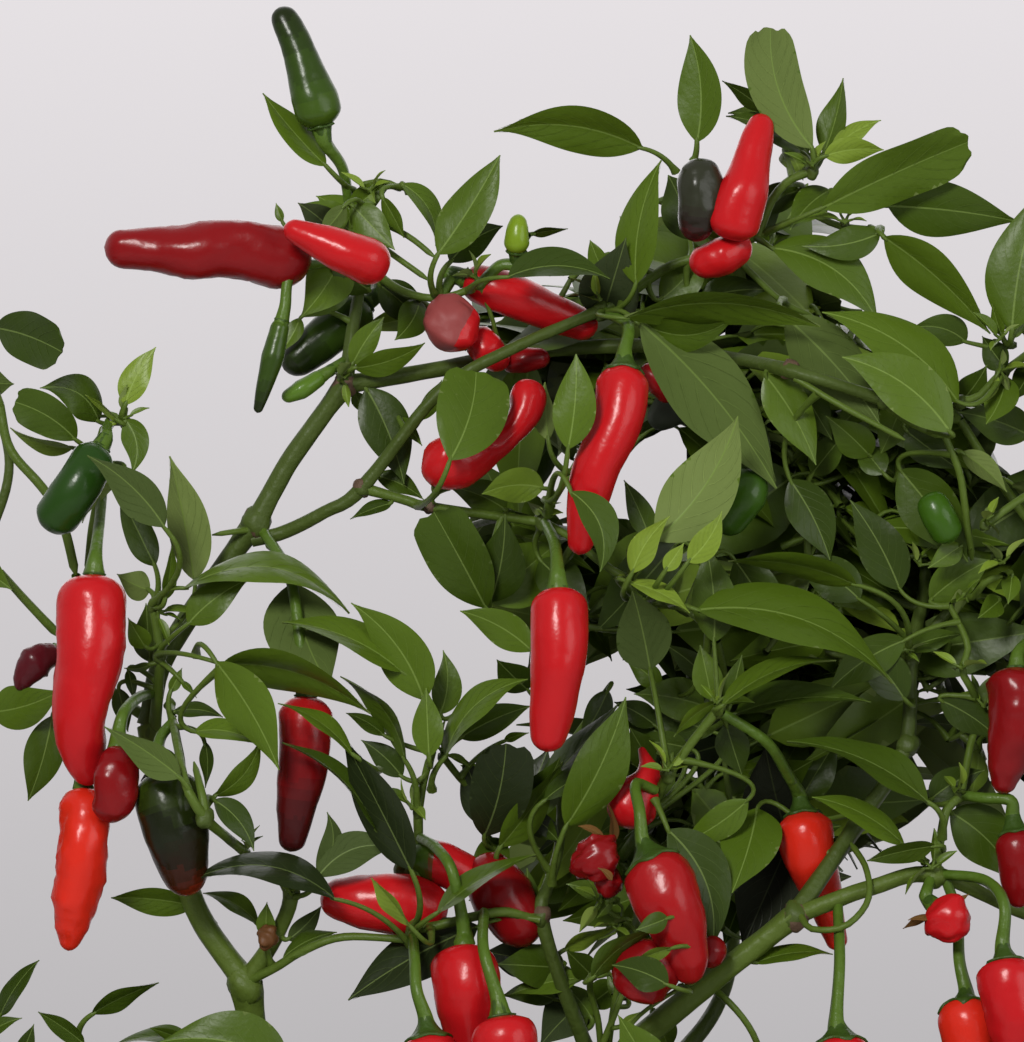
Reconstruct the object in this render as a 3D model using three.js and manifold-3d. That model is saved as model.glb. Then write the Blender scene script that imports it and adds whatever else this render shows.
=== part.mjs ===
import * as THREE from "three";
import { mergeVertices } from "three/addons/utils/BufferGeometryUtils.js";
import Module from "manifold-3d";

// A bushy chilli pepper plant, about 40 cm tall, in a plain clay pot.
// One stem rises from the compost and forks. A left bough climbs far out and bends back over itself,
// and a right bough carries the denser side of the crown. Every bough ends in a mass of leaves.
// Millimetres, +Z up, origin at the centre of the pot's underside. The plant is looked at along +Y.

// Pot and compost
const POT_HEIGHT = 170;
const POT_FOOT_RADIUS = 66;
const POT_RIM_RADIUS = 95;
const RIM_BAND_HEIGHT = 34;
const RIM_BAND_STEP = 4;
const POT_WALL = 7;
const POT_FLOOR = 9;
const SOIL_TOP = 150;
const POT_SEGMENTS = 30;

// The view that the crown is laid out in: a picture plane in front of the stem, and where the eye is
const MM_PER_PIXEL = 0.25;
const PICTURE_CENTRE = { px: 512, py: 521 };
const PLANE_X = 18;
const PLANE_Y = -40;
const PLANE_Z = 455;
const EYE_DISTANCE = 1000;

// Stem and boughs
const FORK = new THREE.Vector3(2, 0, 262);
const STEM_FOOT_RADIUS = 6.6;
const STEM_FORK_RADIUS = 5.4;
const ROOT_FLARE = 4.2;
const ROOT_FLARE_HEIGHT = 16;
const LIMB_SIDES = 6;
const LIMB_STEP = 19;
const FORK_SWELLING = 0.12;

// Foliage
const LUMP_DETAIL = 2;
const SMALL_LUMP_DETAIL = 1;
const SMALL_LUMP = 9000;
const LUMP_DEPTH = 0.15;

// Clearance between pieces that touch
const GAP = 0.3;

const wasm = await Module();
wasm.setup();

// A point that is seen at a pixel of the picture, this many millimetres behind the picture plane.
function seen(px, py, back) {
  const scale = (MM_PER_PIXEL * (EYE_DISTANCE + back)) / EYE_DISTANCE;
  return new THREE.Vector3(
    PLANE_X + (px - PICTURE_CENTRE.px) * scale,
    PLANE_Y + back,
    PLANE_Z - (py - PICTURE_CENTRE.py) * scale,
  );
}

// A closed three.js geometry as a solid that can be cut.
function solidOf(geometry) {
  const bare = geometry.clone();
  bare.deleteAttribute("normal");
  bare.deleteAttribute("uv");
  const merged = mergeVertices(bare, 1e-4);
  return new wasm.Manifold(
    new wasm.Mesh({
      numProp: 3,
      vertProperties: new Float32Array(merged.attributes.position.array),
      triVerts: new Uint32Array(merged.index.array),
    }),
  );
}

// A cut solid as a geometry again. Of pieces that a cut has parted, the largest is kept.
function geometryOf(solid) {
  const largest = solid.decompose().reduce((a, b) => (b.volume() > a.volume() ? b : a));
  const { numProp, vertProperties, triVerts } = largest.getMesh();
  const places = new Float32Array((vertProperties.length / numProp) * 3);
  for (let i = 0; i < places.length / 3; i++) {
    places.set(vertProperties.subarray(i * numProp, i * numProp + 3), i * 3);
  }
  const geometry = new THREE.BufferGeometry();
  geometry.setAttribute("position", new THREE.BufferAttribute(places, 3));
  geometry.setIndex(new THREE.BufferAttribute(new Uint32Array(triVerts), 1));
  geometry.computeVertexNormals();
  return geometry;
}

// Finishes: clay, compost, green bark, and three greens of foliage
const FINISHES = {
  clay: { color: 0xb0664a, roughness: 0.85 },
  compost: { color: 0x33251a, roughness: 0.95 },
  old_bark: { color: 0x6b6a44, roughness: 0.7 },
  green_bark: { color: 0x5f8038, roughness: 0.55 },
  leaf: { color: 0x41692a, roughness: 0.5 },
  young_leaf: { color: 0x6f9a3c, roughness: 0.5 },
  shaded_leaf: { color: 0x2c4a20, roughness: 0.55 },
};

function pieceOf(name, geometry, finish) {
  const material = new THREE.MeshStandardMaterial({ ...FINISHES[finish], metalness: 0 });
  const mesh = new THREE.Mesh(geometry, material);
  mesh.name = name;
  return mesh;
}

// The pot is turned: a tapering body under a thicker rim band, with a flat foot.
function makePot() {
  const bandFoot = POT_HEIGHT - RIM_BAND_HEIGHT;
  const bodyTop = POT_RIM_RADIUS - RIM_BAND_STEP - 4;
  const profile = [
    [0, 0],
    [POT_FOOT_RADIUS - 2, 0],
    [POT_FOOT_RADIUS, 2],
    [bodyTop, bandFoot],
    [POT_RIM_RADIUS - 3, bandFoot + 1],
    [POT_RIM_RADIUS, POT_HEIGHT - 3],
    [POT_RIM_RADIUS - 2, POT_HEIGHT],
    [POT_RIM_RADIUS - POT_WALL - 1, POT_HEIGHT],
    [POT_RIM_RADIUS - POT_WALL - 2, POT_HEIGHT - 3],
    [POT_FOOT_RADIUS - POT_WALL, POT_FLOOR],
    [0, POT_FLOOR],
  ].map(([radius, height]) => new THREE.Vector2(radius, height));
  const turned = new THREE.LatheGeometry(profile, POT_SEGMENTS).rotateX(Math.PI / 2);
  return pieceOf("pot", turned, "clay");
}

// The pot's inner wall is a cone, so its radius goes evenly with the height.
function potInnerRadius(height) {
  const low = { radius: POT_FOOT_RADIUS - POT_WALL, height: POT_FLOOR };
  const high = { radius: POT_RIM_RADIUS - POT_WALL - 2, height: POT_HEIGHT - 3 };
  const share = (height - low.height) / (high.height - low.height);
  return THREE.MathUtils.lerp(low.radius, high.radius, share);
}

function makeSoil() {
  const foot = POT_FLOOR + GAP;
  const profile = [
    [0, foot],
    [potInnerRadius(foot) - GAP, foot],
    [potInnerRadius(SOIL_TOP) - GAP, SOIL_TOP],
    [0, SOIL_TOP],
  ].map(([radius, height]) => new THREE.Vector2(radius, height));
  const turned = new THREE.LatheGeometry(profile, POT_SEGMENTS).rotateX(Math.PI / 2);
  return pieceOf("compost", turned, "compost");
}

// A limb is a closed cylinder bent along a curve. radiusAt gives its radius at a share of its length.
function limbGeometry(curve, radiusAt, grow = 0) {
  const rings = Math.max(3, Math.round(curve.getLength() / LIMB_STEP));
  const geometry = new THREE.CylinderGeometry(1, 1, 1, LIMB_SIDES, rings);
  const frames = curve.computeFrenetFrames(rings, false);
  const places = geometry.attributes.position;
  const local = new THREE.Vector3();
  for (let i = 0; i < places.count; i++) {
    local.fromBufferAttribute(places, i);
    const ring = Math.round((local.y + 0.5) * rings);
    const share = ring / rings;
    const radius = radiusAt(share) + grow;
    const point = curve.getPointAt(share);
    if (grow > 0 && ring === 0) point.addScaledVector(frames.tangents[0], -grow);
    if (grow > 0 && ring === rings) point.addScaledVector(frames.tangents[rings], grow);
    point.addScaledVector(frames.normals[ring], local.z * radius);
    point.addScaledVector(frames.binormals[ring], local.x * radius);
    places.setXYZ(i, point.x, point.y, point.z);
  }
  return geometry;
}

// Boughs, each from where it leaves the stem or another bough to where it enters its leaves.
// through: the points of its line; radii: at its foot and at its end.
const LEFT_KNEE = seen(246, 984, 0);
const LEFT_ELBOW = seen(148, 725, 8);
const LEFT_FORK = seen(256, 522, 5);
const TOP_FORK = seen(345, 385, 2);
const RIGHT_FORK = seen(794, 916, -12);
const RIGHT_NODE = seen(911, 655, 12);
const EDGE_BEND = seen(-50, 1010, 12);

const BOUGHS = [
  {
    name: "bough_left",
    through: [FORK, seen(350, 1200, 22), seen(268, 1090, 8), LEFT_KNEE],
    radii: [4.6, 4.2],
  },
  {
    name: "bough_right",
    through: [FORK, seen(512, 1165, 20), seen(640, 1040, -5), RIGHT_FORK],
    radii: [4.8, 3.8],
  },
  {
    name: "bough_left_middle",
    through: [LEFT_KNEE, seen(190, 895, 2), LEFT_ELBOW],
    radii: [3, 3],
  },
  {
    name: "bough_left_upper",
    through: [LEFT_ELBOW, seen(166, 655, 8), seen(232, 555, 6), LEFT_FORK],
    radii: [2.9, 2.9],
  },
  {
    name: "bough_left_top",
    through: [LEFT_FORK, seen(292, 458, 4), TOP_FORK],
    radii: [2.7, 2.5],
  },
  {
    name: "bough_left_spur",
    through: [LEFT_KNEE, seen(278, 932, -4), seen(291, 900, -8)],
    radii: [2.5, 1.9],
  },
  {
    name: "bough_top_left",
    through: [TOP_FORK, seen(352, 335, 6), seen(360, 290, 10)],
    radii: [2, 1.6],
  },
  {
    name: "bough_top_centre",
    through: [TOP_FORK, seen(440, 369, 8), seen(520, 352, 16)],
    radii: [2.4, 1.9],
  },
  {
    name: "bough_centre",
    through: [LEFT_FORK, seen(310, 518, 2), seen(362, 488, -2), seen(440, 392, -6), seen(600, 312, 2)],
    radii: [1.9, 1.5],
  },
  {
    name: "bough_right_outer",
    through: [RIGHT_FORK, seen(870, 888, -12), seen(935, 876, -10), seen(1035, 912, 4)],
    radii: [3, 2],
  },
  {
    name: "bough_right_upper",
    through: [RIGHT_FORK, seen(861, 822, 0), seen(905, 740, 8), RIGHT_NODE],
    radii: [3.2, 2.3],
  },
  {
    name: "bough_right_edge",
    through: [RIGHT_NODE, seen(967, 587, 16), seen(1010, 530, 24)],
    radii: [1.6, 1.3],
  },
  {
    name: "bough_right_top",
    through: [RIGHT_NODE, seen(925, 560, 26), seen(895, 452, 22)],
    radii: [2, 1.5],
  },
  {
    name: "bough_right_back",
    through: [RIGHT_NODE, seen(908, 640, 36), seen(900, 615, 62)],
    radii: [1.9, 1.5],
  },
  {
    name: "bough_middle",
    through: [seen(615, 1072, 2), seen(562, 980, -8), seen(543, 925, -10)],
    radii: [2.2, 1.7],
  },
  {
    name: "bough_heart",
    through: [seen(700, 990, -8), seen(712, 850, 45), seen(690, 640, 66), seen(690, 500, 80)],
    radii: [3, 1.8],
  },
  {
    name: "bough_back_right",
    through: [FORK, seen(600, 1130, 90), seen(715, 1010, 116), seen(735, 890, 114)],
    radii: [3.8, 2.4],
  },
  {
    name: "bough_low_left",
    through: [seen(306, 1148, 12), seen(180, 1150, 8), seen(40, 1095, 8), EDGE_BEND],
    radii: [2.8, 2.3],
  },
  {
    name: "bough_edge_left",
    through: [EDGE_BEND, seen(-78, 880, 10), seen(-72, 760, 6), seen(-40, 600, 4), seen(22, 470, 2)],
    radii: [2.2, 1.5],
  },
  {
    name: "bough_back_left",
    through: [FORK, seen(400, 1190, 90), seen(330, 1130, 130)],
    radii: [3.2, 2.2],
  },
];

// The stem leans a little, and flares where it meets the compost.
function makeStem() {
  const line = [new THREE.Vector3(0, 0, SOIL_TOP), new THREE.Vector3(-3, 1, 205), FORK];
  const curve = new THREE.CatmullRomCurve3(line);
  const length = curve.getLength();
  const radiusAt = (share) => {
    const flare = ROOT_FLARE * Math.exp((-share * length) / ROOT_FLARE_HEIGHT);
    return THREE.MathUtils.lerp(STEM_FOOT_RADIUS, STEM_FORK_RADIUS, share) + flare;
  };
  return { name: "main_stem", curve, radiusAt, finish: "old_bark" };
}

function makeBough({ name, through, radii }) {
  const curve = new THREE.CatmullRomCurve3(through, false, "centripetal");
  const radiusAt = (share) => {
    const swelling = 1 + FORK_SWELLING * Math.exp(-share * 12);
    return THREE.MathUtils.lerp(radii[0], radii[1], share) * swelling;
  };
  return { name, curve, radiusAt, finish: "green_bark" };
}

// Each limb is cut by those that it grows from, so that it sits on them.
function cutLimbs(limbs) {
  const done = [];
  for (const limb of limbs) {
    let solid = solidOf(limbGeometry(limb.curve, limb.radiusAt));
    for (const earlier of done) solid = solid.subtract(earlier.clearance);
    const clearance = solidOf(limbGeometry(limb.curve, limb.radiusAt, GAP));
    done.push({ ...limb, solid, clearance });
  }
  return done;
}

// The stem's foot stays flat on the compost.
function groundCut(solid) {
  const size = 2 * POT_RIM_RADIUS;
  const below = new THREE.BoxGeometry(size, size, size).translate(0, 0, SOIL_TOP - size / 2);
  return solid.subtract(solidOf(below));
}

// Masses of leaves: where the centre is seen, how far back it is, and the half sizes in millimetres.
const MASSES = [
  { name: "leaves_top_left", at: [392, 240, 16], half: [17, 24, 15] },
  { name: "leaves_top_left_shoot", at: [315, 119, 14], half: [9, 14, 30], finish: "young_leaf" },
  { name: "leaves_under_top_left", at: [385, 422, 16], half: [11, 20, 14] },
  { name: "leaves_top_centre", at: [535, 262, 20], half: [25, 28, 16] },
  { name: "leaves_top_spray", at: [580, 150, 10], half: [23, 12, 11], finish: "young_leaf" },
  { name: "leaves_top_middle", at: [690, 175, 10], half: [17, 21, 33] },
  { name: "leaves_top_right", at: [815, 120, 12], half: [20, 23, 25], finish: "young_leaf" },
  { name: "leaves_right_shoulder", at: [925, 190, 16], half: [20, 21, 15] },
  { name: "leaves_right_tip", at: [1035, 290, 20], half: [19, 23, 26] },
  { name: "leaves_centre", at: [690, 395, 0], half: [27, 30, 30] },
  { name: "leaves_right_upper", at: [870, 360, 6], half: [30, 32, 27] },
  { name: "leaves_right_side", at: [1035, 470, 22], half: [25, 31, 25] },
  { name: "leaves_centre_left", at: [490, 535, 10], half: [20, 28, 24] },
  { name: "leaves_middle", at: [640, 600, -8], half: [26, 28, 28] },
  { name: "leaves_right_middle", at: [805, 570, -6], half: [26, 30, 27] },
  { name: "leaves_right_low", at: [1000, 700, 20], half: [26, 32, 30] },
  { name: "leaves_low_centre", at: [500, 730, -4], half: [22, 31, 24], finish: "shaded_leaf" },
  { name: "leaves_low_middle", at: [655, 800, -16], half: [25, 25, 27], finish: "shaded_leaf" },
  { name: "leaves_low_right", at: [830, 760, -22], half: [26, 21, 20], finish: "shaded_leaf" },
  { name: "leaves_bottom_centre", at: [470, 905, -8], half: [23, 31, 22], finish: "shaded_leaf" },
  { name: "leaves_far_left", at: [55, 425, 4], half: [22, 28, 25] },
  { name: "leaves_left", at: [170, 560, -8], half: [15, 25, 26] },
  { name: "leaves_left_low", at: [62, 715, -4], half: [31, 34, 26] },
  { name: "leaves_left_outer", at: [-72, 900, 12], half: [19, 34, 26] },
  { name: "leaves_left_arc", at: [335, 690, -8], half: [27, 25, 18] },
  { name: "leaves_left_spray", at: [265, 880, -10], half: [27, 22, 12] },
  { name: "leaves_bottom_left", at: [100, 1085, 10], half: [36, 36, 24] },
  { name: "leaves_bottom_front", at: [470, 1112, -10], half: [24, 31, 30], finish: "shaded_leaf" },
  { name: "leaves_bottom_right", at: [728, 1120, -2], half: [42, 32, 20], finish: "shaded_leaf" },
  { name: "leaves_bottom_edge", at: [1030, 1010, 14], half: [28, 32, 28] },
  { name: "leaves_back_top", at: [800, 330, 84], half: [36, 34, 34], finish: "shaded_leaf" },
  { name: "leaves_back_centre", at: [655, 520, 100], half: [32, 34, 38], finish: "shaded_leaf" },
  { name: "leaves_back_right", at: [885, 600, 96], half: [41, 38, 40], finish: "shaded_leaf" },
  { name: "leaves_back_low", at: [720, 800, 110], half: [38, 36, 34], finish: "shaded_leaf" },
  { name: "leaves_back_foot", at: [800, 1040, 120], half: [36, 34, 28], finish: "shaded_leaf" },
  { name: "leaves_back_left", at: [300, 1130, 140], half: [36, 32, 26], finish: "shaded_leaf" },
];

// How far an ellipsoid of these half sizes reaches along a direction.
function reach(half, direction) {
  return Math.hypot(half.x * direction.x, half.y * direction.y, half.z * direction.z);
}

// Soft lobes over a lump, other ones for each mass.
function lobes(direction, seed) {
  const { x, y, z } = direction;
  const broad = Math.sin(3.2 * x + seed) * Math.cos(2.9 * z + 1.7 * seed);
  const fine = Math.sin(6.1 * y + 2.3 * seed) * Math.cos(5.3 * x - seed);
  return 1 + LUMP_DEPTH * (broad + 0.6 * fine);
}

// Each lump ends at a plane between it and each neighbour, so that no two overlap.
function planesRound(mass, masses) {
  const planes = [];
  for (const other of masses) {
    if (other === mass) continue;
    const normal = other.centre.clone().sub(mass.centre);
    const apart = normal.length();
    normal.normalize();
    const own = reach(mass.half, normal);
    const share = own / (own + reach(other.half, normal));
    planes.push({ normal, limit: apart * share - GAP / 2 });
  }
  return planes;
}

function lumpSolid(mass, masses, seed) {
  const { x, y, z } = mass.half;
  const detail = x * y * z < SMALL_LUMP ? SMALL_LUMP_DETAIL : LUMP_DETAIL;
  const geometry = new THREE.IcosahedronGeometry(1, detail);
  const planes = planesRound(mass, masses);
  const places = geometry.attributes.position;
  const direction = new THREE.Vector3();
  for (let i = 0; i < places.count; i++) {
    direction.fromBufferAttribute(places, i).normalize();
    const point = direction.clone().multiply(mass.half).multiplyScalar(lobes(direction, seed));
    for (const { normal, limit } of planes) {
      const along = point.dot(normal);
      if (along > limit) point.multiplyScalar(limit / along);
    }
    point.add(mass.centre);
    places.setXYZ(i, point.x, point.y, point.z);
  }
  return solidOf(geometry);
}

function makeMasses(limbs) {
  const masses = MASSES.map(({ at, half, ...rest }) => ({
    ...rest,
    centre: seen(...at),
    half: new THREE.Vector3(...half),
  }));
  return masses.map((mass, i) => {
    let solid = lumpSolid(mass, masses, i + 1);
    for (const limb of limbs) solid = solid.subtract(limb.clearance);
    return pieceOf(mass.name, geometryOf(solid), mass.finish ?? "leaf");
  });
}

const plant = new THREE.Group();
plant.name = "chilli_pepper_plant";
const limbs = cutLimbs([makeStem(), ...BOUGHS.map(makeBough)]);
plant.add(makePot(), makeSoil());
for (const { name, solid, finish } of limbs) {
  plant.add(pieceOf(name, geometryOf(groundCut(solid)), finish));
}
plant.add(...makeMasses(limbs));

export default plant;
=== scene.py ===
"""Looks of the potted chilli pepper plant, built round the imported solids.

Limbs, twigs, fruits and the leaves of the front layer are placed where they are seen in the picture:
a place is given as pixel x, pixel y and millimetres behind the picture plane. The rest of the crown
is grown by a seeded branching rule inside the solids that stand for the masses of leaves.
The tables are text: commas part the places of a list, and bars part the fields of a row.
"""

import math

import bpy
import numpy as np
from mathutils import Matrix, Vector, noise
from numpy.linalg import norm


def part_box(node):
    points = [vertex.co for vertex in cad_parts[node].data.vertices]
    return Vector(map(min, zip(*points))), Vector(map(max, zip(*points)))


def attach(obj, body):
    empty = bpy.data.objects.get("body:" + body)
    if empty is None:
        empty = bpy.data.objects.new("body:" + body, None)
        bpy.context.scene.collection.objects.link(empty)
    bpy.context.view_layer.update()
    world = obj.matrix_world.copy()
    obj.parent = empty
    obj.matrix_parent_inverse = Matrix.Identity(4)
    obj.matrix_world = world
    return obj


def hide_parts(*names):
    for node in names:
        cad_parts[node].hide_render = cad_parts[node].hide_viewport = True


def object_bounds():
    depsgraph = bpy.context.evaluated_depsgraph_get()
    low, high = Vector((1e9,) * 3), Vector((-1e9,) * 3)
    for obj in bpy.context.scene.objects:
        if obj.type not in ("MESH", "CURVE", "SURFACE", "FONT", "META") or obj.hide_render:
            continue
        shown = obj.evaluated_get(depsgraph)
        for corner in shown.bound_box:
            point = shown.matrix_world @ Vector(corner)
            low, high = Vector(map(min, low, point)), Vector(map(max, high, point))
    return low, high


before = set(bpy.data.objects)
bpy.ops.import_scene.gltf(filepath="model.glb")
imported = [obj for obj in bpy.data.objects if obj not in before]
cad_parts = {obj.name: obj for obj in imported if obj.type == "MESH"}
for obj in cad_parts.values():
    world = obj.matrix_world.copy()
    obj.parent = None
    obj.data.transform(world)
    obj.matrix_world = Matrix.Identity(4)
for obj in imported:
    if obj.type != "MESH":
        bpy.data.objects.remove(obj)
CAD_LOW, CAD_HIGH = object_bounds()

# The view: where the picture plane is, its scale, and the eye in front of it (metres)
MM = 0.001
PIXEL_MM = 0.25
PIXEL = PIXEL_MM * MM
PICTURE = (1024, 1042)
PLANE = np.array([0.018, -0.040, 0.455])
EYE_DISTANCE = 1.0
EYE = PLANE - np.array([0, EYE_DISTANCE, 0])

POT_HEIGHT = 0.170
SOIL_TOP = 0.150
FORK = np.array([0.002, 0.0, 0.262])


def pixel_size(back):
    return PIXEL * (EYE_DISTANCE + back * MM) / EYE_DISTANCE


def seen(px, py, back):
    """The point that is seen at a pixel, this many millimetres behind the picture plane."""
    across = (px - PICTURE[0] / 2) * pixel_size(back)
    down = (py - PICTURE[1] / 2) * pixel_size(back)
    return PLANE + np.array([across, back * MM, -down])


def pixel(point):
    """Pixel x, pixel y and millimetres behind the picture plane of a point."""
    back = (point[1] - PLANE[1]) / MM
    px = PICTURE[0] / 2 + (point[0] - PLANE[0]) / pixel_size(back)
    py = PICTURE[1] / 2 - (point[2] - PLANE[2]) / pixel_size(back)
    return px, py, back


def read_places(text):
    """Lists of numbers and words, parted by commas."""
    return [[word if word[0].isalpha() else float(word) for word in part.split()] for part in text.split(",")]


def read_fields(text):
    """Lists of places, parted by bars."""
    return [read_places(field) for field in text.split("|")]


def read_rows(text, end="\n"):
    return [read_fields(row) for row in text.strip().split(end)]


def unit(v):
    return v / max(norm(v), 1e-12)


def length_of(points):
    return sum(norm(b - a) for a, b in zip(points, points[1:]))


def turns(count):
    """Angles spread evenly over a full turn."""
    return np.linspace(0, 2 * math.pi, count, endpoint=False)


def dice(seed):
    return np.random.default_rng(seed)


# Seeds. Leaves, buds and masses add their number in their list to theirs, and the fruits of pockets and
# links the number of the pocket or link and of the twig.
LEAF_SEED, BUD_SEED, MASS_SEED = 4100, 7000, 900
POCKET_SEED, LINK_SEED, CRUMB_SEED = 417, 640, 77
POCKET_FRUIT_SEED, LINK_FRUIT_SEED = 500, 300


CURVE_STEPS = 24


def smooth_line(points, count):
    """Points evenly along a Catmull-Rom curve through the given ones."""
    points = np.asarray(points, float)
    if len(points) == 2:
        share = np.linspace(0, 1, count)[:, None]
        return points[0] * (1 - share) + points[1] * share
    p = np.concatenate([[2 * points[0] - points[1]], points, [2 * points[-1] - points[-2]]])
    t = np.linspace(0, 1, CURVE_STEPS, endpoint=False)[:, None]
    fine = []
    for a, b, c, d in zip(p, p[1:], p[2:], p[3:]):
        bend = (2 * a - 5 * b + 4 * c - d) * t**2 + (3 * b - a - 3 * c + d) * t**3
        fine.append(0.5 * (2 * b + (c - a) * t + bend))
    fine = np.concatenate([*fine, p[-2:-1]])
    along = np.concatenate([[0], np.cumsum(norm(np.diff(fine, axis=0), axis=1))])
    want = np.linspace(0, along[-1], count)
    return np.stack([np.interp(want, along, fine[:, k]) for k in range(3)], axis=1)


def frames_along(line):
    """Tangent and two cross directions at each point of a line, turning as little as they can."""
    tangents = np.gradient(line, axis=0)
    tangents /= norm(tangents, axis=1)[:, None] + 1e-12
    side = np.cross(tangents[0], [0, 0, 1])
    if norm(side) < 0.1:
        side = np.cross(tangents[0], [1, 0, 0])
    side = unit(side)
    sides = []
    for t in tangents:
        side = unit(side - t * np.dot(side, t))
        sides.append(side)
    sides = np.array(sides)
    return tangents, sides, np.cross(tangents, sides)


def rough(point, size, seed=0.0):
    """Smooth noise between about -1 and 1 at a point, with features of this size."""
    return noise.noise(Vector((point[0] / size + seed, point[1] / size, point[2] / size)))


class Bundle:
    """Many grids of quads that become one mesh, each quad with its material."""

    def __init__(self):
        self.places, self.quads, self.finishes = [], [], []
        self.count = 0

    def grid(self, places, finish=0, closed=False, flip=False):
        rows, cols = places.shape[:2]
        index = np.arange(rows * cols).reshape(rows, cols) + self.count
        if closed:
            index = np.concatenate([index, index[:, :1]], axis=1)
        quads = np.stack([index[:-1, :-1], index[:-1, 1:], index[1:, 1:], index[1:, :-1]], axis=-1)
        if flip:
            quads = quads[..., ::-1]
        self.places.append(places.reshape(-1, 3))
        self.quads.append(quads.reshape(-1, 4))
        self.finishes.append(np.broadcast_to(finish, quads.shape[:2]).reshape(-1))
        self.count += rows * cols

    def build(self, name, materials, slot, nodes=()):
        quads = np.concatenate(self.quads).astype(np.int32)
        mesh = bpy.data.meshes.new(name)
        mesh.vertices.add(self.count)
        mesh.vertices.foreach_set("co", np.concatenate(self.places).astype(np.float32).ravel())
        mesh.loops.add(quads.size)
        mesh.loops.foreach_set("vertex_index", quads.ravel())
        mesh.polygons.add(len(quads))
        mesh.polygons.foreach_set("loop_start", np.arange(0, quads.size, 4, dtype=np.int32))
        mesh.polygons.foreach_set("material_index", np.concatenate(self.finishes).astype(np.int32))
        mesh.polygons.foreach_set("use_smooth", np.ones(len(quads), bool))
        mesh.update(calc_edges=True)
        for material in materials:
            mesh.materials.append(material)
        piece = bpy.data.objects.new(name, mesh)
        bpy.context.scene.collection.objects.link(piece)
        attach(piece, "root")
        if nodes:
            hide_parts(*nodes)


BUMP_SIZE = 0.006
BUMP_REACH = 0.010


def tube(bundle, line, radii, sides, finish=0, ribs=0, rib_depth=0.0, bumps=0.0):
    """A limb round a line. ribs are raised strips along it, bumps are small unevenness."""
    _, side, up = frames_along(line)
    turn = turns(sides)
    radii = radii[:, None]
    shape = 1 + rib_depth * np.cos(ribs * turn)[None, :] * np.ones_like(radii)
    if bumps:
        for i, point in enumerate(line):
            for k, angle in enumerate(turn):
                probe = point + BUMP_REACH * np.array([math.cos(angle), math.sin(angle), 0])
                shape[i, k] += bumps * rough(probe, BUMP_SIZE)
    ring = radii * shape
    places = (
        line[:, None, :]
        + side[:, None, :] * (ring * np.cos(turn))[..., None]
        + up[:, None, :] * (ring * np.sin(turn))[..., None]
    )
    bundle.grid(places, finish, closed=True, flip=True)


# Finishes. Each is one plain base colour (linear), with relief from noise.


def add_node(tree, kind, values, links):
    """A shader node with its values and links, each under the name or number of its input."""
    node = tree.nodes.new("ShaderNode" + kind)
    for place, value in values.items():
        node.inputs[place].default_value = value
    for place, output in links.items():
        tree.links.new(output, node.inputs[place])
    return node


def new_material(name, colour, roughness, specular=0.5):
    material = bpy.data.materials.new(name)
    material.use_nodes = True
    shader = material.node_tree.nodes["Principled BSDF"]
    shader.inputs["Base Color"].default_value = (*colour, 1)
    shader.inputs["Roughness"].default_value = roughness
    shader.inputs["Specular IOR Level"].default_value = specular
    return material, material.node_tree, shader


def noise_at(tree, scale, detail):
    """Noise with this many grains to a metre."""
    place = tree.nodes.new("ShaderNodeTexCoord").outputs["Object"]
    return add_node(tree, "TexNoise", {"Scale": scale, "Detail": detail}, {"Vector": place}).outputs["Fac"]


def add_relief(tree, shader, height, distance, strength=1.0):
    bump = add_node(tree, "Bump", {"Strength": strength, "Distance": distance}, {"Height": height})
    tree.links.new(bump.outputs["Normal"], shader.inputs["Normal"])


FINE_SHARE = 0.4


def double_relief(tree, shader, fine, coarse, distance, strength):
    """Relief from a fine and a coarser noise."""
    weak = add_node(tree, "Math", {1: FINE_SHARE}, {0: noise_at(tree, fine, 2.0)})
    weak.operation = "MULTIPLY"
    both = add_node(tree, "Math", {}, {0: weak.outputs[0], 1: noise_at(tree, coarse, 2.0)})
    both.operation = "ADD"
    add_relief(tree, shader, both.outputs[0], distance, strength)


def plain(name, colour, roughness, grain, size, shine=0.3):
    """A material with one relief: grain is its depth, size its grains to a metre."""
    material, tree, shader = new_material(name, colour, roughness, shine)
    add_relief(tree, shader, noise_at(tree, size, 4.0), grain)
    return material


PALE_GREEN = np.array([0.26, 0.36, 0.10])

# Leaf tones: colour of the top and of the underside. The black tone k is painted shade, for leaves deep in
# the shade of the crown. The other tones, from the very dark j to the pale young y, are partly the leaves'
# own colour
# and partly painted light and shade: a leaf that lies in shade is given a darker tone, and some shaded leaves
# a paler one to make up for the shade. The matt ones are the black leaves of painted shade and withered
# leaves.
LEAF_TONES = {
    "k": ((0.0120, 0.0145, 0.0085), (0.020, 0.026, 0.014)),
    "j": ((0.013, 0.020, 0.006), (0.028, 0.040, 0.014)),
    "g": ((0.030, 0.043, 0.016), (0.050, 0.064, 0.026)),
    "d": ((0.021, 0.038, 0.003), (0.040, 0.060, 0.015)),
    "e": ((0.032, 0.057, 0.004), (0.056, 0.083, 0.019)),
    "m": ((0.044, 0.077, 0.005), (0.080, 0.112, 0.028)),
    "n": ((0.053, 0.091, 0.006), (0.100, 0.138, 0.036)),
    "b": ((0.062, 0.105, 0.007), (0.110, 0.152, 0.040)),
    "c": ((0.088, 0.138, 0.013), (0.130, 0.175, 0.048)),
    "y": ((0.120, 0.178, 0.018), (0.150, 0.205, 0.040)),
    "w": ((0.110, 0.054, 0.016), (0.090, 0.046, 0.016)),
}
TONES = list(LEAF_TONES)
MATT = "kw"
NEIGHBOUR = {"d": "e", "m": "n", "b": "n"}

# Roughness and shine of a blade's top, and how pale its midrib and its veins are
MATT_LOOK = (0.75, 0.04, 0.06, 0.01)
GLOSSY_LOOK = (0.36, 0.15, 0.24, 0.06)


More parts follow.
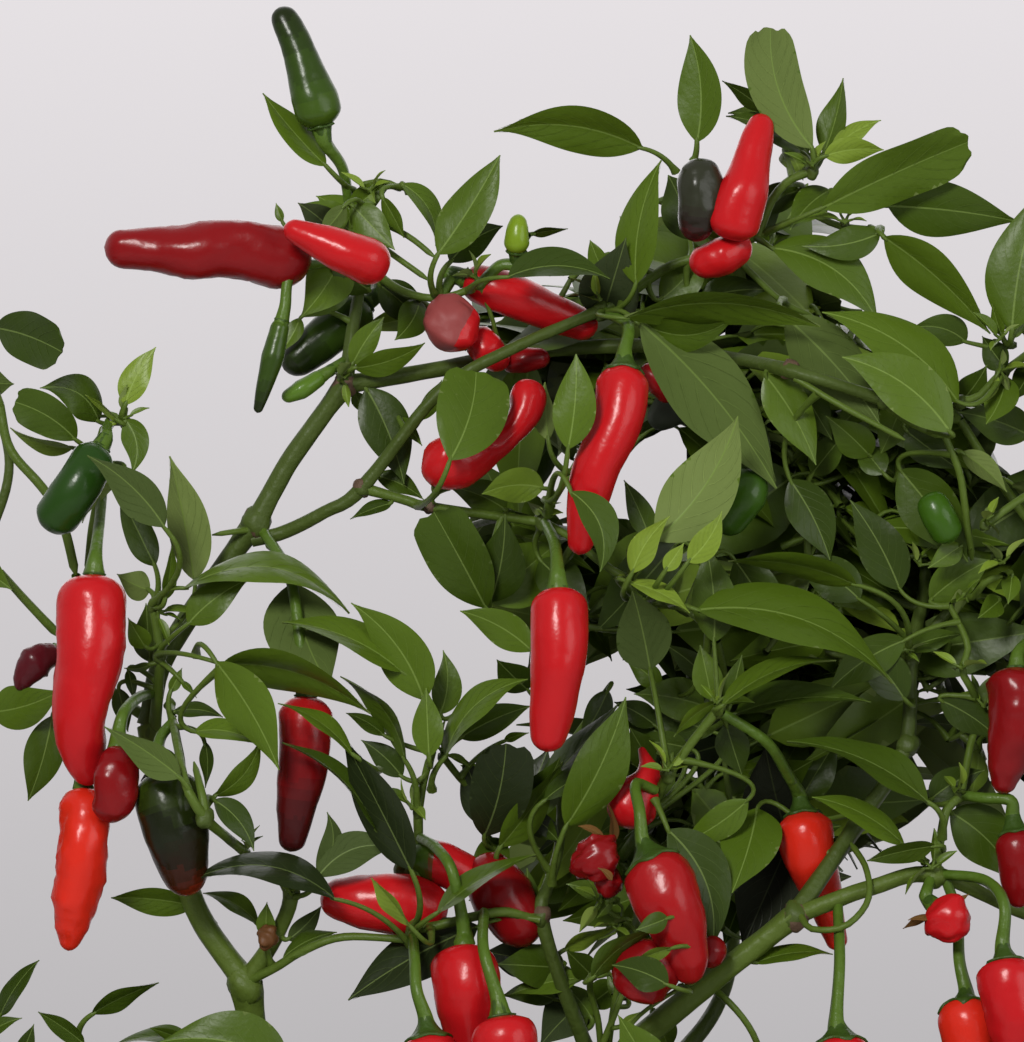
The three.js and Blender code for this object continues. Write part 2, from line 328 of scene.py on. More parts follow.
def leaf_slots(tone):
    """The five materials of a leaf: top, underside, midrib and the side veins of both faces."""
    top, under = (np.array(colour) for colour in LEAF_TONES[tone])
    roughness, shine, rib_pale, vein_pale = MATT_LOOK if tone in MATT else GLOSSY_LOOK
    slots = []
    for part, colour, part_roughness, part_shine in (
        ("top", top, roughness, shine),
        ("under", under, 0.60, 0.06),
        ("rib", top + (PALE_GREEN - top) * rib_pale, 0.45, 0.12),
        ("vein", top + (PALE_GREEN - top) * vein_pale, 0.45, 0.12),
        ("under_vein", under * 1.22, 0.60, 0.06),
    ):
        material, tree, shader = new_material(f"leaf_{tone}_{part}", colour, part_roughness, part_shine)
        double_relief(tree, shader, fine=900.0, coarse=260.0, distance=0.0003, strength=0.45)
        slots.append(material)
    return slots


LEAF_SLOTS = {tone: leaf_slots(tone) for tone in TONES}
green_bark = plain("green_bark", (0.041, 0.063, 0.010), 0.48, 0.0006, 320.0, 0.18)
scar_bark = plain("scar_bark", (0.075, 0.045, 0.026), 0.70, 0.0008, 500.0)
old_bark = plain("old_bark", (0.130, 0.120, 0.055), 0.72, 0.0014, 260.0)
pale_bark = plain("pale_bark", (0.060, 0.092, 0.013), 0.45, 0.0005, 320.0, 0.16)
young_bark = plain("young_bark", (0.058, 0.093, 0.012), 0.44, 0.0004, 420.0, 0.16)
calyx_green = plain("calyx_green", (0.026, 0.054, 0.006), 0.45, 0.0006, 380.0, 0.2)
stalk_green = plain("stalk_green", (0.054, 0.100, 0.010), 0.38, 0.0005, 380.0, 0.22)
clay = plain("clay", (0.44, 0.19, 0.11), 0.85, 0.0012, 300.0)
soil = plain("soil", (0.033, 0.020, 0.012), 0.95, 0.003, 400.0)

# Side veins: how many there are, how far they slant, and their feet and end as shares of the blade
VEINS = 6
VEIN_SLANT = 0.34
VEIN_FOOT, VEIN_STEP, VEIN_END = 0.07, 0.140, 0.94
VEIN_REACH = 0.93

# Half width of the midrib, thickness of the blade and half width of a vein: shares of the length, and limits
# in metres. RAISED and BELOW are how far the veins lie off the top and the underside, and BLISTER is the
# height of the blisters between them as a share of the half width.
RIB_SHARE, RIB_LEAST, RIB_MOST = 0.0058, 0.00008, 0.0006
THICK_SHARE, THICK_MOST = 0.008, 0.00045
VEIN_SHARE, VEIN_MOST = 0.0032, 0.00016
RAISED, BELOW = 0.00010, 0.00012
BLISTER = 0.045

# A torn blade ends at this share of its outline, and is blunt from this share of what is left, by this much
TORN_SHARE, BLUNT_FROM, BLUNT_BY = 0.62, 0.88, 0.28


def blade_profile(u, sharp):
    """Half width of a blade along it, 1 at its widest: wedge-shaped foot, drawn-out tip."""
    a, b = 0.80, 1.0 + sharp
    peak = a / (a + b)
    top = peak**a * (1 - peak) ** b
    return (np.maximum(u, 0) ** a) * (np.maximum(1 - u, 0) ** b) / top


def blade_frame(base, tip, face, arch, bow, twist, u):
    """Midline of a blade, and its heading, side and top direction at each point of it."""
    length = norm(tip - base)
    along = (tip - base) / length
    side0 = unit(np.cross(face, along))
    top0 = unit(np.cross(along, side0))
    middle = (base + tip) / 2 + top0 * arch * length + bow
    spine = (1 - u)[:, None] ** 2 * base + 2 * (u * (1 - u))[:, None] * middle + u[:, None] ** 2 * tip
    tangent = np.gradient(spine, axis=0)
    tangent /= norm(tangent, axis=1)[:, None]
    side = side0 - tangent * (tangent @ side0)[:, None]
    side /= norm(side, axis=1)[:, None]
    top = np.cross(tangent, side)
    turn = (twist * (u - 0.2))[:, None]
    return spine, tangent, side * np.cos(turn) + top * np.sin(turn), top * np.cos(turn) - side * np.sin(turn)


def leaf(bundle, base, tip, width, face, rows, cols, seed, arch=0.1, bow=0.0, fold=0.25, curl=0.0, wave=0.05,
         twist=0.0, sharp=0.15, torn=False, veins=False):
    """A blade from base to tip. face is the way its top looks, arch lifts its middle towards that."""
    length = norm(tip - base)
    u = np.linspace(0, 1, rows)
    spine, tangent, side, top = blade_frame(base, tip, face, arch, bow, twist, u)
    half = 0.5 * width * blade_profile(u, sharp)
    if torn:
        blunt = 1 - np.clip((u - BLUNT_FROM) / (1 - BLUNT_FROM), 0, 1) ** 3 * BLUNT_BY
        half = 0.5 * width * blade_profile(u * TORN_SHARE, sharp) * blunt
    rib = np.minimum(RIB_SHARE * length * (1 - 0.85 * u) + RIB_LEAST, RIB_MOST)
    half = np.maximum(half, rib * 1.15)
    out = np.linspace(0, 1, cols)
    across = rib[:, None] + (half - rib)[:, None] * out
    thick = min(THICK_MOST, THICK_SHARE * length)
    upper, lower = [], []
    for sign in (-1, 1):
        phase = seed * 7.3 + (0 if sign < 0 else 2.1)
        lift = fold * across - curl * across**2 / np.maximum(half, 1e-5)[:, None]
        lift = lift + wave * half[:, None] * out**2 * np.sin(8.0 * u + phase)[:, None]
        quilt = np.abs(np.sin(math.pi * VEINS * (u[:, None] - VEIN_SLANT * out)))
        lift = lift + BLISTER * half[:, None] * (quilt - 0.6) * 4 * out * (1 - out)
        flat = spine[:, None, :] + side[:, None, :] * (sign * across)[..., None]
        if torn:
            jag = out * (np.sin(out * 6 + seed * 5 + sign) * 0.030 - 0.025 * out)
            flat = flat + tangent[:, None, :] * (u**5)[:, None, None] * (jag * length)[None, :, None]
        sheet = flat + top[:, None, :] * lift[..., None]
        if veins:
            draw_veins(bundle, sheet, top, thick, length)
        upper.append(sheet[:, ::sign])
        lower.append((sheet - top[:, None, :] * (thick * (1 - out**4))[None, :, None])[:, ::sign])
    upper, lower = np.concatenate(upper, axis=1), np.concatenate(lower, axis=1)
    centre = cols - 1
    lower[:, centre : centre + 2] -= top[:, None, :] * (rib * 0.9)[:, None, None]
    for sheet, finish in ((upper, 0), (lower, 1)):
        finish = np.full((rows - 1, 2 * cols - 1), finish)
        finish[:, centre] = 2
        bundle.grid(sheet, finish, flip=sheet is lower)


def draw_veins(bundle, sheet, top, thick, length):
    """Thin side veins on both faces of one half of a blade, as strips that follow its surface."""
    rows, cols = sheet.shape[:2]
    t = np.linspace(0, 1, 6)
    for k in range(VEINS):
        foot = VEIN_FOOT + VEIN_STEP * k
        reach = 1.0
        if (foot + VEIN_SLANT) * (rows - 1) > rows - 1.05:
            reach = min(1, ((VEIN_END - VEIN_FOOT - VEIN_STEP * k) / VEIN_SLANT) ** 0.8)
            if reach < 0.25:
                continue
        u = (foot + VEIN_SLANT * (t * reach) ** 1.25) * (rows - 1)
        v = t * reach * VEIN_REACH * (cols - 1)
        i, j = np.minimum(u.astype(int), rows - 2), np.minimum(v.astype(int), cols - 2)
        a, b = (u - i)[:, None], (v - j)[:, None]
        path = (
            sheet[i, j] * (1 - a) * (1 - b) + sheet[i + 1, j] * a * (1 - b)
            + sheet[i, j + 1] * (1 - a) * b + sheet[i + 1, j + 1] * a * b
        )
        wide = np.cross(top[i], np.gradient(path, axis=0))
        wide /= norm(wide, axis=1)[:, None] + 1e-12
        wide = wide * (VEIN_SHARE * length * (1 - 0.65 * t))[:, None].clip(0, VEIN_MOST)
        for offset, below in ((RAISED, False), (-thick - BELOW, True)):
            strip = np.stack([path - wide, path + wide], axis=1) + top[i][:, None, :] * offset
            bundle.grid(strip, 4 if below else 3, flip=below)


# Limbs. These are the places where they meet, as (pixel x, pixel y, back).
MEETINGS = {
    "fork": pixel(FORK),
    "left_knee": (246, 984, 0),
    "left_elbow": (148, 725, 8),
    "left_fork": (256, 522, 5),
    "top_fork": (345, 385, 2),
    "centre_node": (362, 488, -2),
    "right_fork": (794, 916, -12),
    "right_node": (911, 655, 12),
    "edge_bend": (-50, 1010, 12),
}

# Boughs: name, route, radii in millimetres at foot and end, and whether the bark is pale
BOUGHS = """
left | fork, 350 1200 22, 268 1090 8, left_knee | 4.6 3.6 pale
right | fork, 512 1165 20, 640 1040 -5, right_fork | 4.8 2.6 pale
left_middle | left_knee, 190 895 2, left_elbow | 3.0 2.6 pale
left_upper | left_elbow, 166 655 8, 232 555 6, left_fork | 2.5 2.7
left_top | left_fork, 292 458 4, top_fork | 2.5 2.4
left_spur | left_knee, 278 932 -4, 291 893 -8, 270 868 -8, 246 853 -8 | 2.4 1.3 pale
top_left | top_fork, 352 335 6, 362 262 12, 352 200 8 | 1.9 1.0
top_centre | top_fork, 440 369 8, 530 352 16, 640 346 14, 730 358 4, 795 372 -14, 885 400 -14 | 2.1 1.5
centre | 252 540 5, 285 532 4, 325 512 0, centre_node, 440 392 -6, 512 349 -4, 602 310 2 | 1.7 1.4
right_outer | right_fork, 870 888 -12, 935 875 -10, 1030 915 4, 1100 925 22 | 2.1 1.4 pale
right_upper | right_fork, 861 818 0, 905 748 8, right_node | 2.3 1.6
right_edge | right_node, 967 587 16, 1020 515 24, 1060 470 26 | 1.4 1.0
right_top | right_node, 925 560 26, 895 452 22, 880 380 26 | 1.8 1.1
right_back | right_node, 908 640 36, 900 612 66, 870 590 96 | 1.7 1.1
middle | 600 1082 4, 562 985 -8, 541 915 -12, 548 885 -8, 560 840 5, 560 760 14 | 2.1 1.0
heart | 700 990 -8, 712 850 45, 690 640 66, 690 500 80, 720 400 80 | 2.9 1.2
back_right | fork, 600 1130 90, 715 1010 116, 735 890 114, 730 790 110 | 3.6 1.4
low_left | 306 1148 12, 180 1150 8, 40 1095 8, edge_bend | 2.5 2.0
edge_left | edge_bend, -78 880 10, -72 760 6, -30 590 4, 8 480 2, 0 410 2 | 1.9 1.1
back_left | fork, 400 1190 90, 330 1130 130, 290 1090 150 | 3.0 1.3
"""

# Finer stems of the picture: route and radii
TWIGS = """
246 853 -8, 224 835 -26, 205 818 -36, 187 788 -38, 177 745 -24, 170 705 2 | 1.3 .9
205 818 -36, 202 795 -36, 194 762 -28 | 1.1 .8
154 735 8, 158 690 0, 160 655 -6, 153 606 -8 | 1.6 1
600 312 2, 622 299 2, 671 266 2, 728 250 0, 758 236 -2, 811 213 -4 | 1.4 .9
758 236 -2, 772 200 -4, 790 180 -6, 812 171 -8 | 1.2 1
811 213 -4, 840 226 -4, 880 229 -2 | .9 .6
729 252 0, 751 273 0, 783 302 2, 816 318 4 | .9 .7
935 875 -10, 946 812 -6, 960 795 -4, 972 740 2, 983 710 6, 972 675 10 | 1.2 .8
800 915 -14, 812 929 -20, 845 926 -22, 868 900 -18, 866 868 -12, 850 842 -4 | .8 .8
412 930 -14, 440 925 -16, 500 912 -16, 540 920 -12 | 1.1 1.3
250 980 -2, 275 968 -6, 305 950 -10, 345 937 -12, 412 940 -14 | 1.2 .9
480 285 -2, 492 318 2, 500 342 6, 520 352 10 | .6 .5
605 898 0, 622 905 0, 618 930 -4, 598 940 -8 | .4 .3
443 757 -6, 466 785 -2, 500 815 6, 555 838 6 | .8 1
362 488 -2, 405 500 -2, 430 507 -2, 540 522 0 | 1.3 1.1
540 522 0, 560 490 4, 590 440 10 | .9 .8
418 812 -6, 424 780 -6, 431 752 -8 | 1 .9
418 812 -6, 418 850 -4, 414 930 -14 | 1.1 1.2
668 775 -16, 690 745 -18, 716 712 -20 | 1.1 1.1
668 775 -16, 655 800 -8, 640 830 10, 620 860 30 | 1.2 1.4
628 580 -10, 600 562 -8, 575 540 -4, 545 523 0 | 1 1
628 581 -10, 640 600 -12, 665 605 -12, 690 612 -12, 716 640 -14 | .8 .8
960 400 -6, 978 397 -6, 1000 375 -4, 1040 345 0 | .9 1.1
945 437 -10, 960 475 -8, 967 525 -4, 972 560 4 | .9 1
960 420 2, 985 460 4, 1022 512 8, 1060 560 14 | 1.1 1.3
985 525 -6, 1024 497 -4, 1060 480 4 | 1 1.1
0 405 0, 10 449 0, 43 488 0, 62 520 2, 76 575 4 | 1.2 1.2
125 423 -4, 105 425 -2, 98 450 0, 100 480 2, 92 530 6, 88 575 6 | .7 1.2
0 572 -2, 25 600 0, 60 637 4 | 1 1.2
-30 590 4, 0 572 -2 | 1.3 1
76 575 4, 84 640 12, 110 690 12, 150 720 8 | 1.2 1.4
360 185 4, 384 181 2, 409 192 0 | .7 .6
349 210 4, 403 233 -2, 436 258 -6 | .9 .7
374 241 3, 395 256 0, 412 268 -2, 430 281 -2 | .8 .7
362 262 12, 400 290 4, 440 298 0, 480 284 -2, 512 258 -4 | 1.3 .7
885 400 -14, 910 420 -14, 945 437 -10 | 1.6 1.2
795 378 -14, 840 405 -18, 905 440 -20 | .8 .7
596 1060 -4, 620 1000 -8, 640 940 -6, 600 905 0 | .9 .6
541 930 -12, 520 880 0, 500 850 6, 484 832 4 | 1 .8
880 229 -2, 884 240 -2 | .6 .5
1060 470 26, 1055 400 10, 1040 345 0, 1010 322 -4 | 1.3 .9
602 1060 -2, 598 1020 -6, 590 990 -12, 592 977 -24 | .9 .7
606 1062 0, 613 1010 -4, 617 985 -6, 609 972 -8 | 1 .7
615 1050 -14, 640 1015 -20, 690 982 -22 | .6 .5
252 530 4, 232 532 0, 212 535 -2 | .9 .6
950 606 4, 963 632 0, 968 650 -2, 962 670 -4, 972 690 -2, 980 708 4 | .8 1
958 590 8, 972 598 2, 985 582 -2, 1003 576 -4 | 1.1 .8
708 984 -6, 733 1006 -10, 751 1030 -10, 764 1060 -8 | .9 .8
"""

# Where side shoots leave a limb: place, radius of the swelling in millimetres, and its bark
KNOTS = read_places("""
246 984 0 4.6 pale, 292 893 -8 2.1, 150 732 8 3.2, 256 522 5 3.7 scar, 345 385 2 3.1 scar,
362 488 -2 2.2 scar, 794 916 -12 3.3 scar, 861 818 0 3.2, 908 745 8 2.8, 911 655 12 2.6,
935 875 -10 2.9 pale, 541 916 -12 2.7 scar, 790 370 -12 2.4 scar, 885 400 -14 2.2, 205 818 -36 2.3,
413 932 -14 2.1, 541 522 0 2, 602 310 2 2.4, 430 507 -2 1.7 scar, 960 795 -4 1.7, 983 710 6 1.5,
628 580 -10 1.6, 718 710 -20 1.8, 668 775 -16 2, 812 172 -8 1.7, 845 226 -4 1.3 scar, 160 655 -6 1.9,
154 606 -8 1.7, 125 423 -4 1.5, 418 812 -6 1.6, 443 757 -6 1.4, 960 402 -6 1.7, 1000 375 -4 1.6,
170 705 2 1.5, 352 204 8 1.8, 362 262 12 2.1, 480 284 -2 1.5, 728 251 0 1.7, 600 905 0 1.2, 985 525 -6 1.4
""")
KNOT_PLACES = np.array([seen(*row[:3]) for row in KNOTS])
KNOT_RINGS, KNOT_SIDES = 11, 16
BOUGH_SIDES, TWIG_SIDES, STEM_SIDES = 18, 10, 40
LIMB_STEP = 0.0022

# A limb swells by this share at a knot, over this distance, and its end is narrow where no knot is this near
SWELLING, SWELLING_REACH, FREE_END = 0.16, 0.0045, 0.003


def limb_line(points):
    points = [seen(*MEETINGS.get(point[0], point)) for point in points]
    return smooth_line(points, max(6, int(length_of(points) / LIMB_STEP)))


def read_limbs(table):
    """Name, line, radii at foot and end, and bark of each limb of a table."""
    limbs = []
    for *names, points, [look] in read_rows(table):
        limbs.append((names, limb_line(points), look[:2], look[2:]))
    return limbs


BOUGH_LIMBS = read_limbs(BOUGHS)
TWIG_LIMBS = read_limbs(TWIGS)
WOOD = np.concatenate([line for _, line, _, _ in BOUGH_LIMBS + TWIG_LIMBS])


def knot(bundle, place, radius, bark, seed):
    """A lumpy swelling where limbs meet."""
    ball = np.zeros((KNOT_RINGS, KNOT_SIDES, 3))
    for i, polar in enumerate(np.linspace(0.02, math.pi - 0.02, KNOT_RINGS)):
        for k, angle in enumerate(turns(KNOT_SIDES)):
            level = math.sin(polar)
            out = np.array([level * math.cos(angle), level * math.sin(angle), math.cos(polar)])
            lump = 1 + 0.30 * rough(out * 0.01, 0.008, seed)
            ball[i, k] = place + out * radius * MM * lump * np.array([1, 1, 1.12])
    finish = np.full((KNOT_RINGS - 1, KNOT_SIDES), 2 if "pale" in bark else 0)
    if "scar" in bark:
        patch = [[rough(spot, 0.005, 3.0) > -0.06 for spot in ring] for ring in ball[:-1]]
        finish[np.array(patch)] = 1
    bundle.grid(ball, finish, closed=True, flip=True)


def limb(bundle, line, radii, sides, rib_depth, finish=0):
    """A limb that swells at the knots."""
    radius = MM * (radii[0] + (radii[1] - radii[0]) * np.linspace(0, 1, len(line)))
    gap = norm(line[:, None, :] - KNOT_PLACES[None], axis=2).min(axis=1)
    radius = radius * (1 + SWELLING * np.exp(-((gap / SWELLING_REACH) ** 2)))
    if gap[-1] > FREE_END:
        radius[-1] *= 0.3
    tube(bundle, line, radius, sides, finish, ribs=5, rib_depth=rib_depth, bumps=0.08)


def make_boughs():
    boughs = Bundle()
    for _, line, radii, bark in BOUGH_LIMBS:
        limb(boughs, line, radii, BOUGH_SIDES, 0.045, 2 if bark else 0)
    for number, (place, row) in enumerate(zip(KNOT_PLACES, KNOTS)):
        knot(boughs, place, row[3], row[4:], number * 1.3)
    nodes = ["bough_" + names[0][0][0] for names, _, _, _ in BOUGH_LIMBS]
    boughs.build("boughs", [green_bark, scar_bark, pale_bark], "green_bark", nodes)


# The stem: its bend, and in millimetres its radius, how much thinner it gets, the flare of its foot and how
# far that reaches, and its length
STEM_BEND = [-0.003, 0.001, 0.205]
STEM_RADIUS, STEM_TAPER, FLARE, FLARE_REACH, STEM_LENGTH = 6.6, 1.2, 4.2, 16, 112
STEM_RINGS = 70


def make_stem():
    line = smooth_line([[0, 0, SOIL_TOP - 0.004], STEM_BEND, FORK + [0, 0, 0.004]], STEM_RINGS)
    share = np.linspace(0, 1, STEM_RINGS)
    radius = MM * (STEM_RADIUS - STEM_TAPER * share + FLARE * np.exp(-share * STEM_LENGTH / FLARE_REACH))
    stem = Bundle()
    tube(stem, line, radius, STEM_SIDES, ribs=6, rib_depth=0.05, bumps=0.13)
    stem.build("main_stem_bark", [old_bark], "old_bark", ["main_stem"])


make_boughs()
make_stem()
twigs = Bundle()
for _, twig_line, twig_radii, _ in TWIG_LIMBS:
    limb(twigs, twig_line, twig_radii, TWIG_SIDES, 0.03)
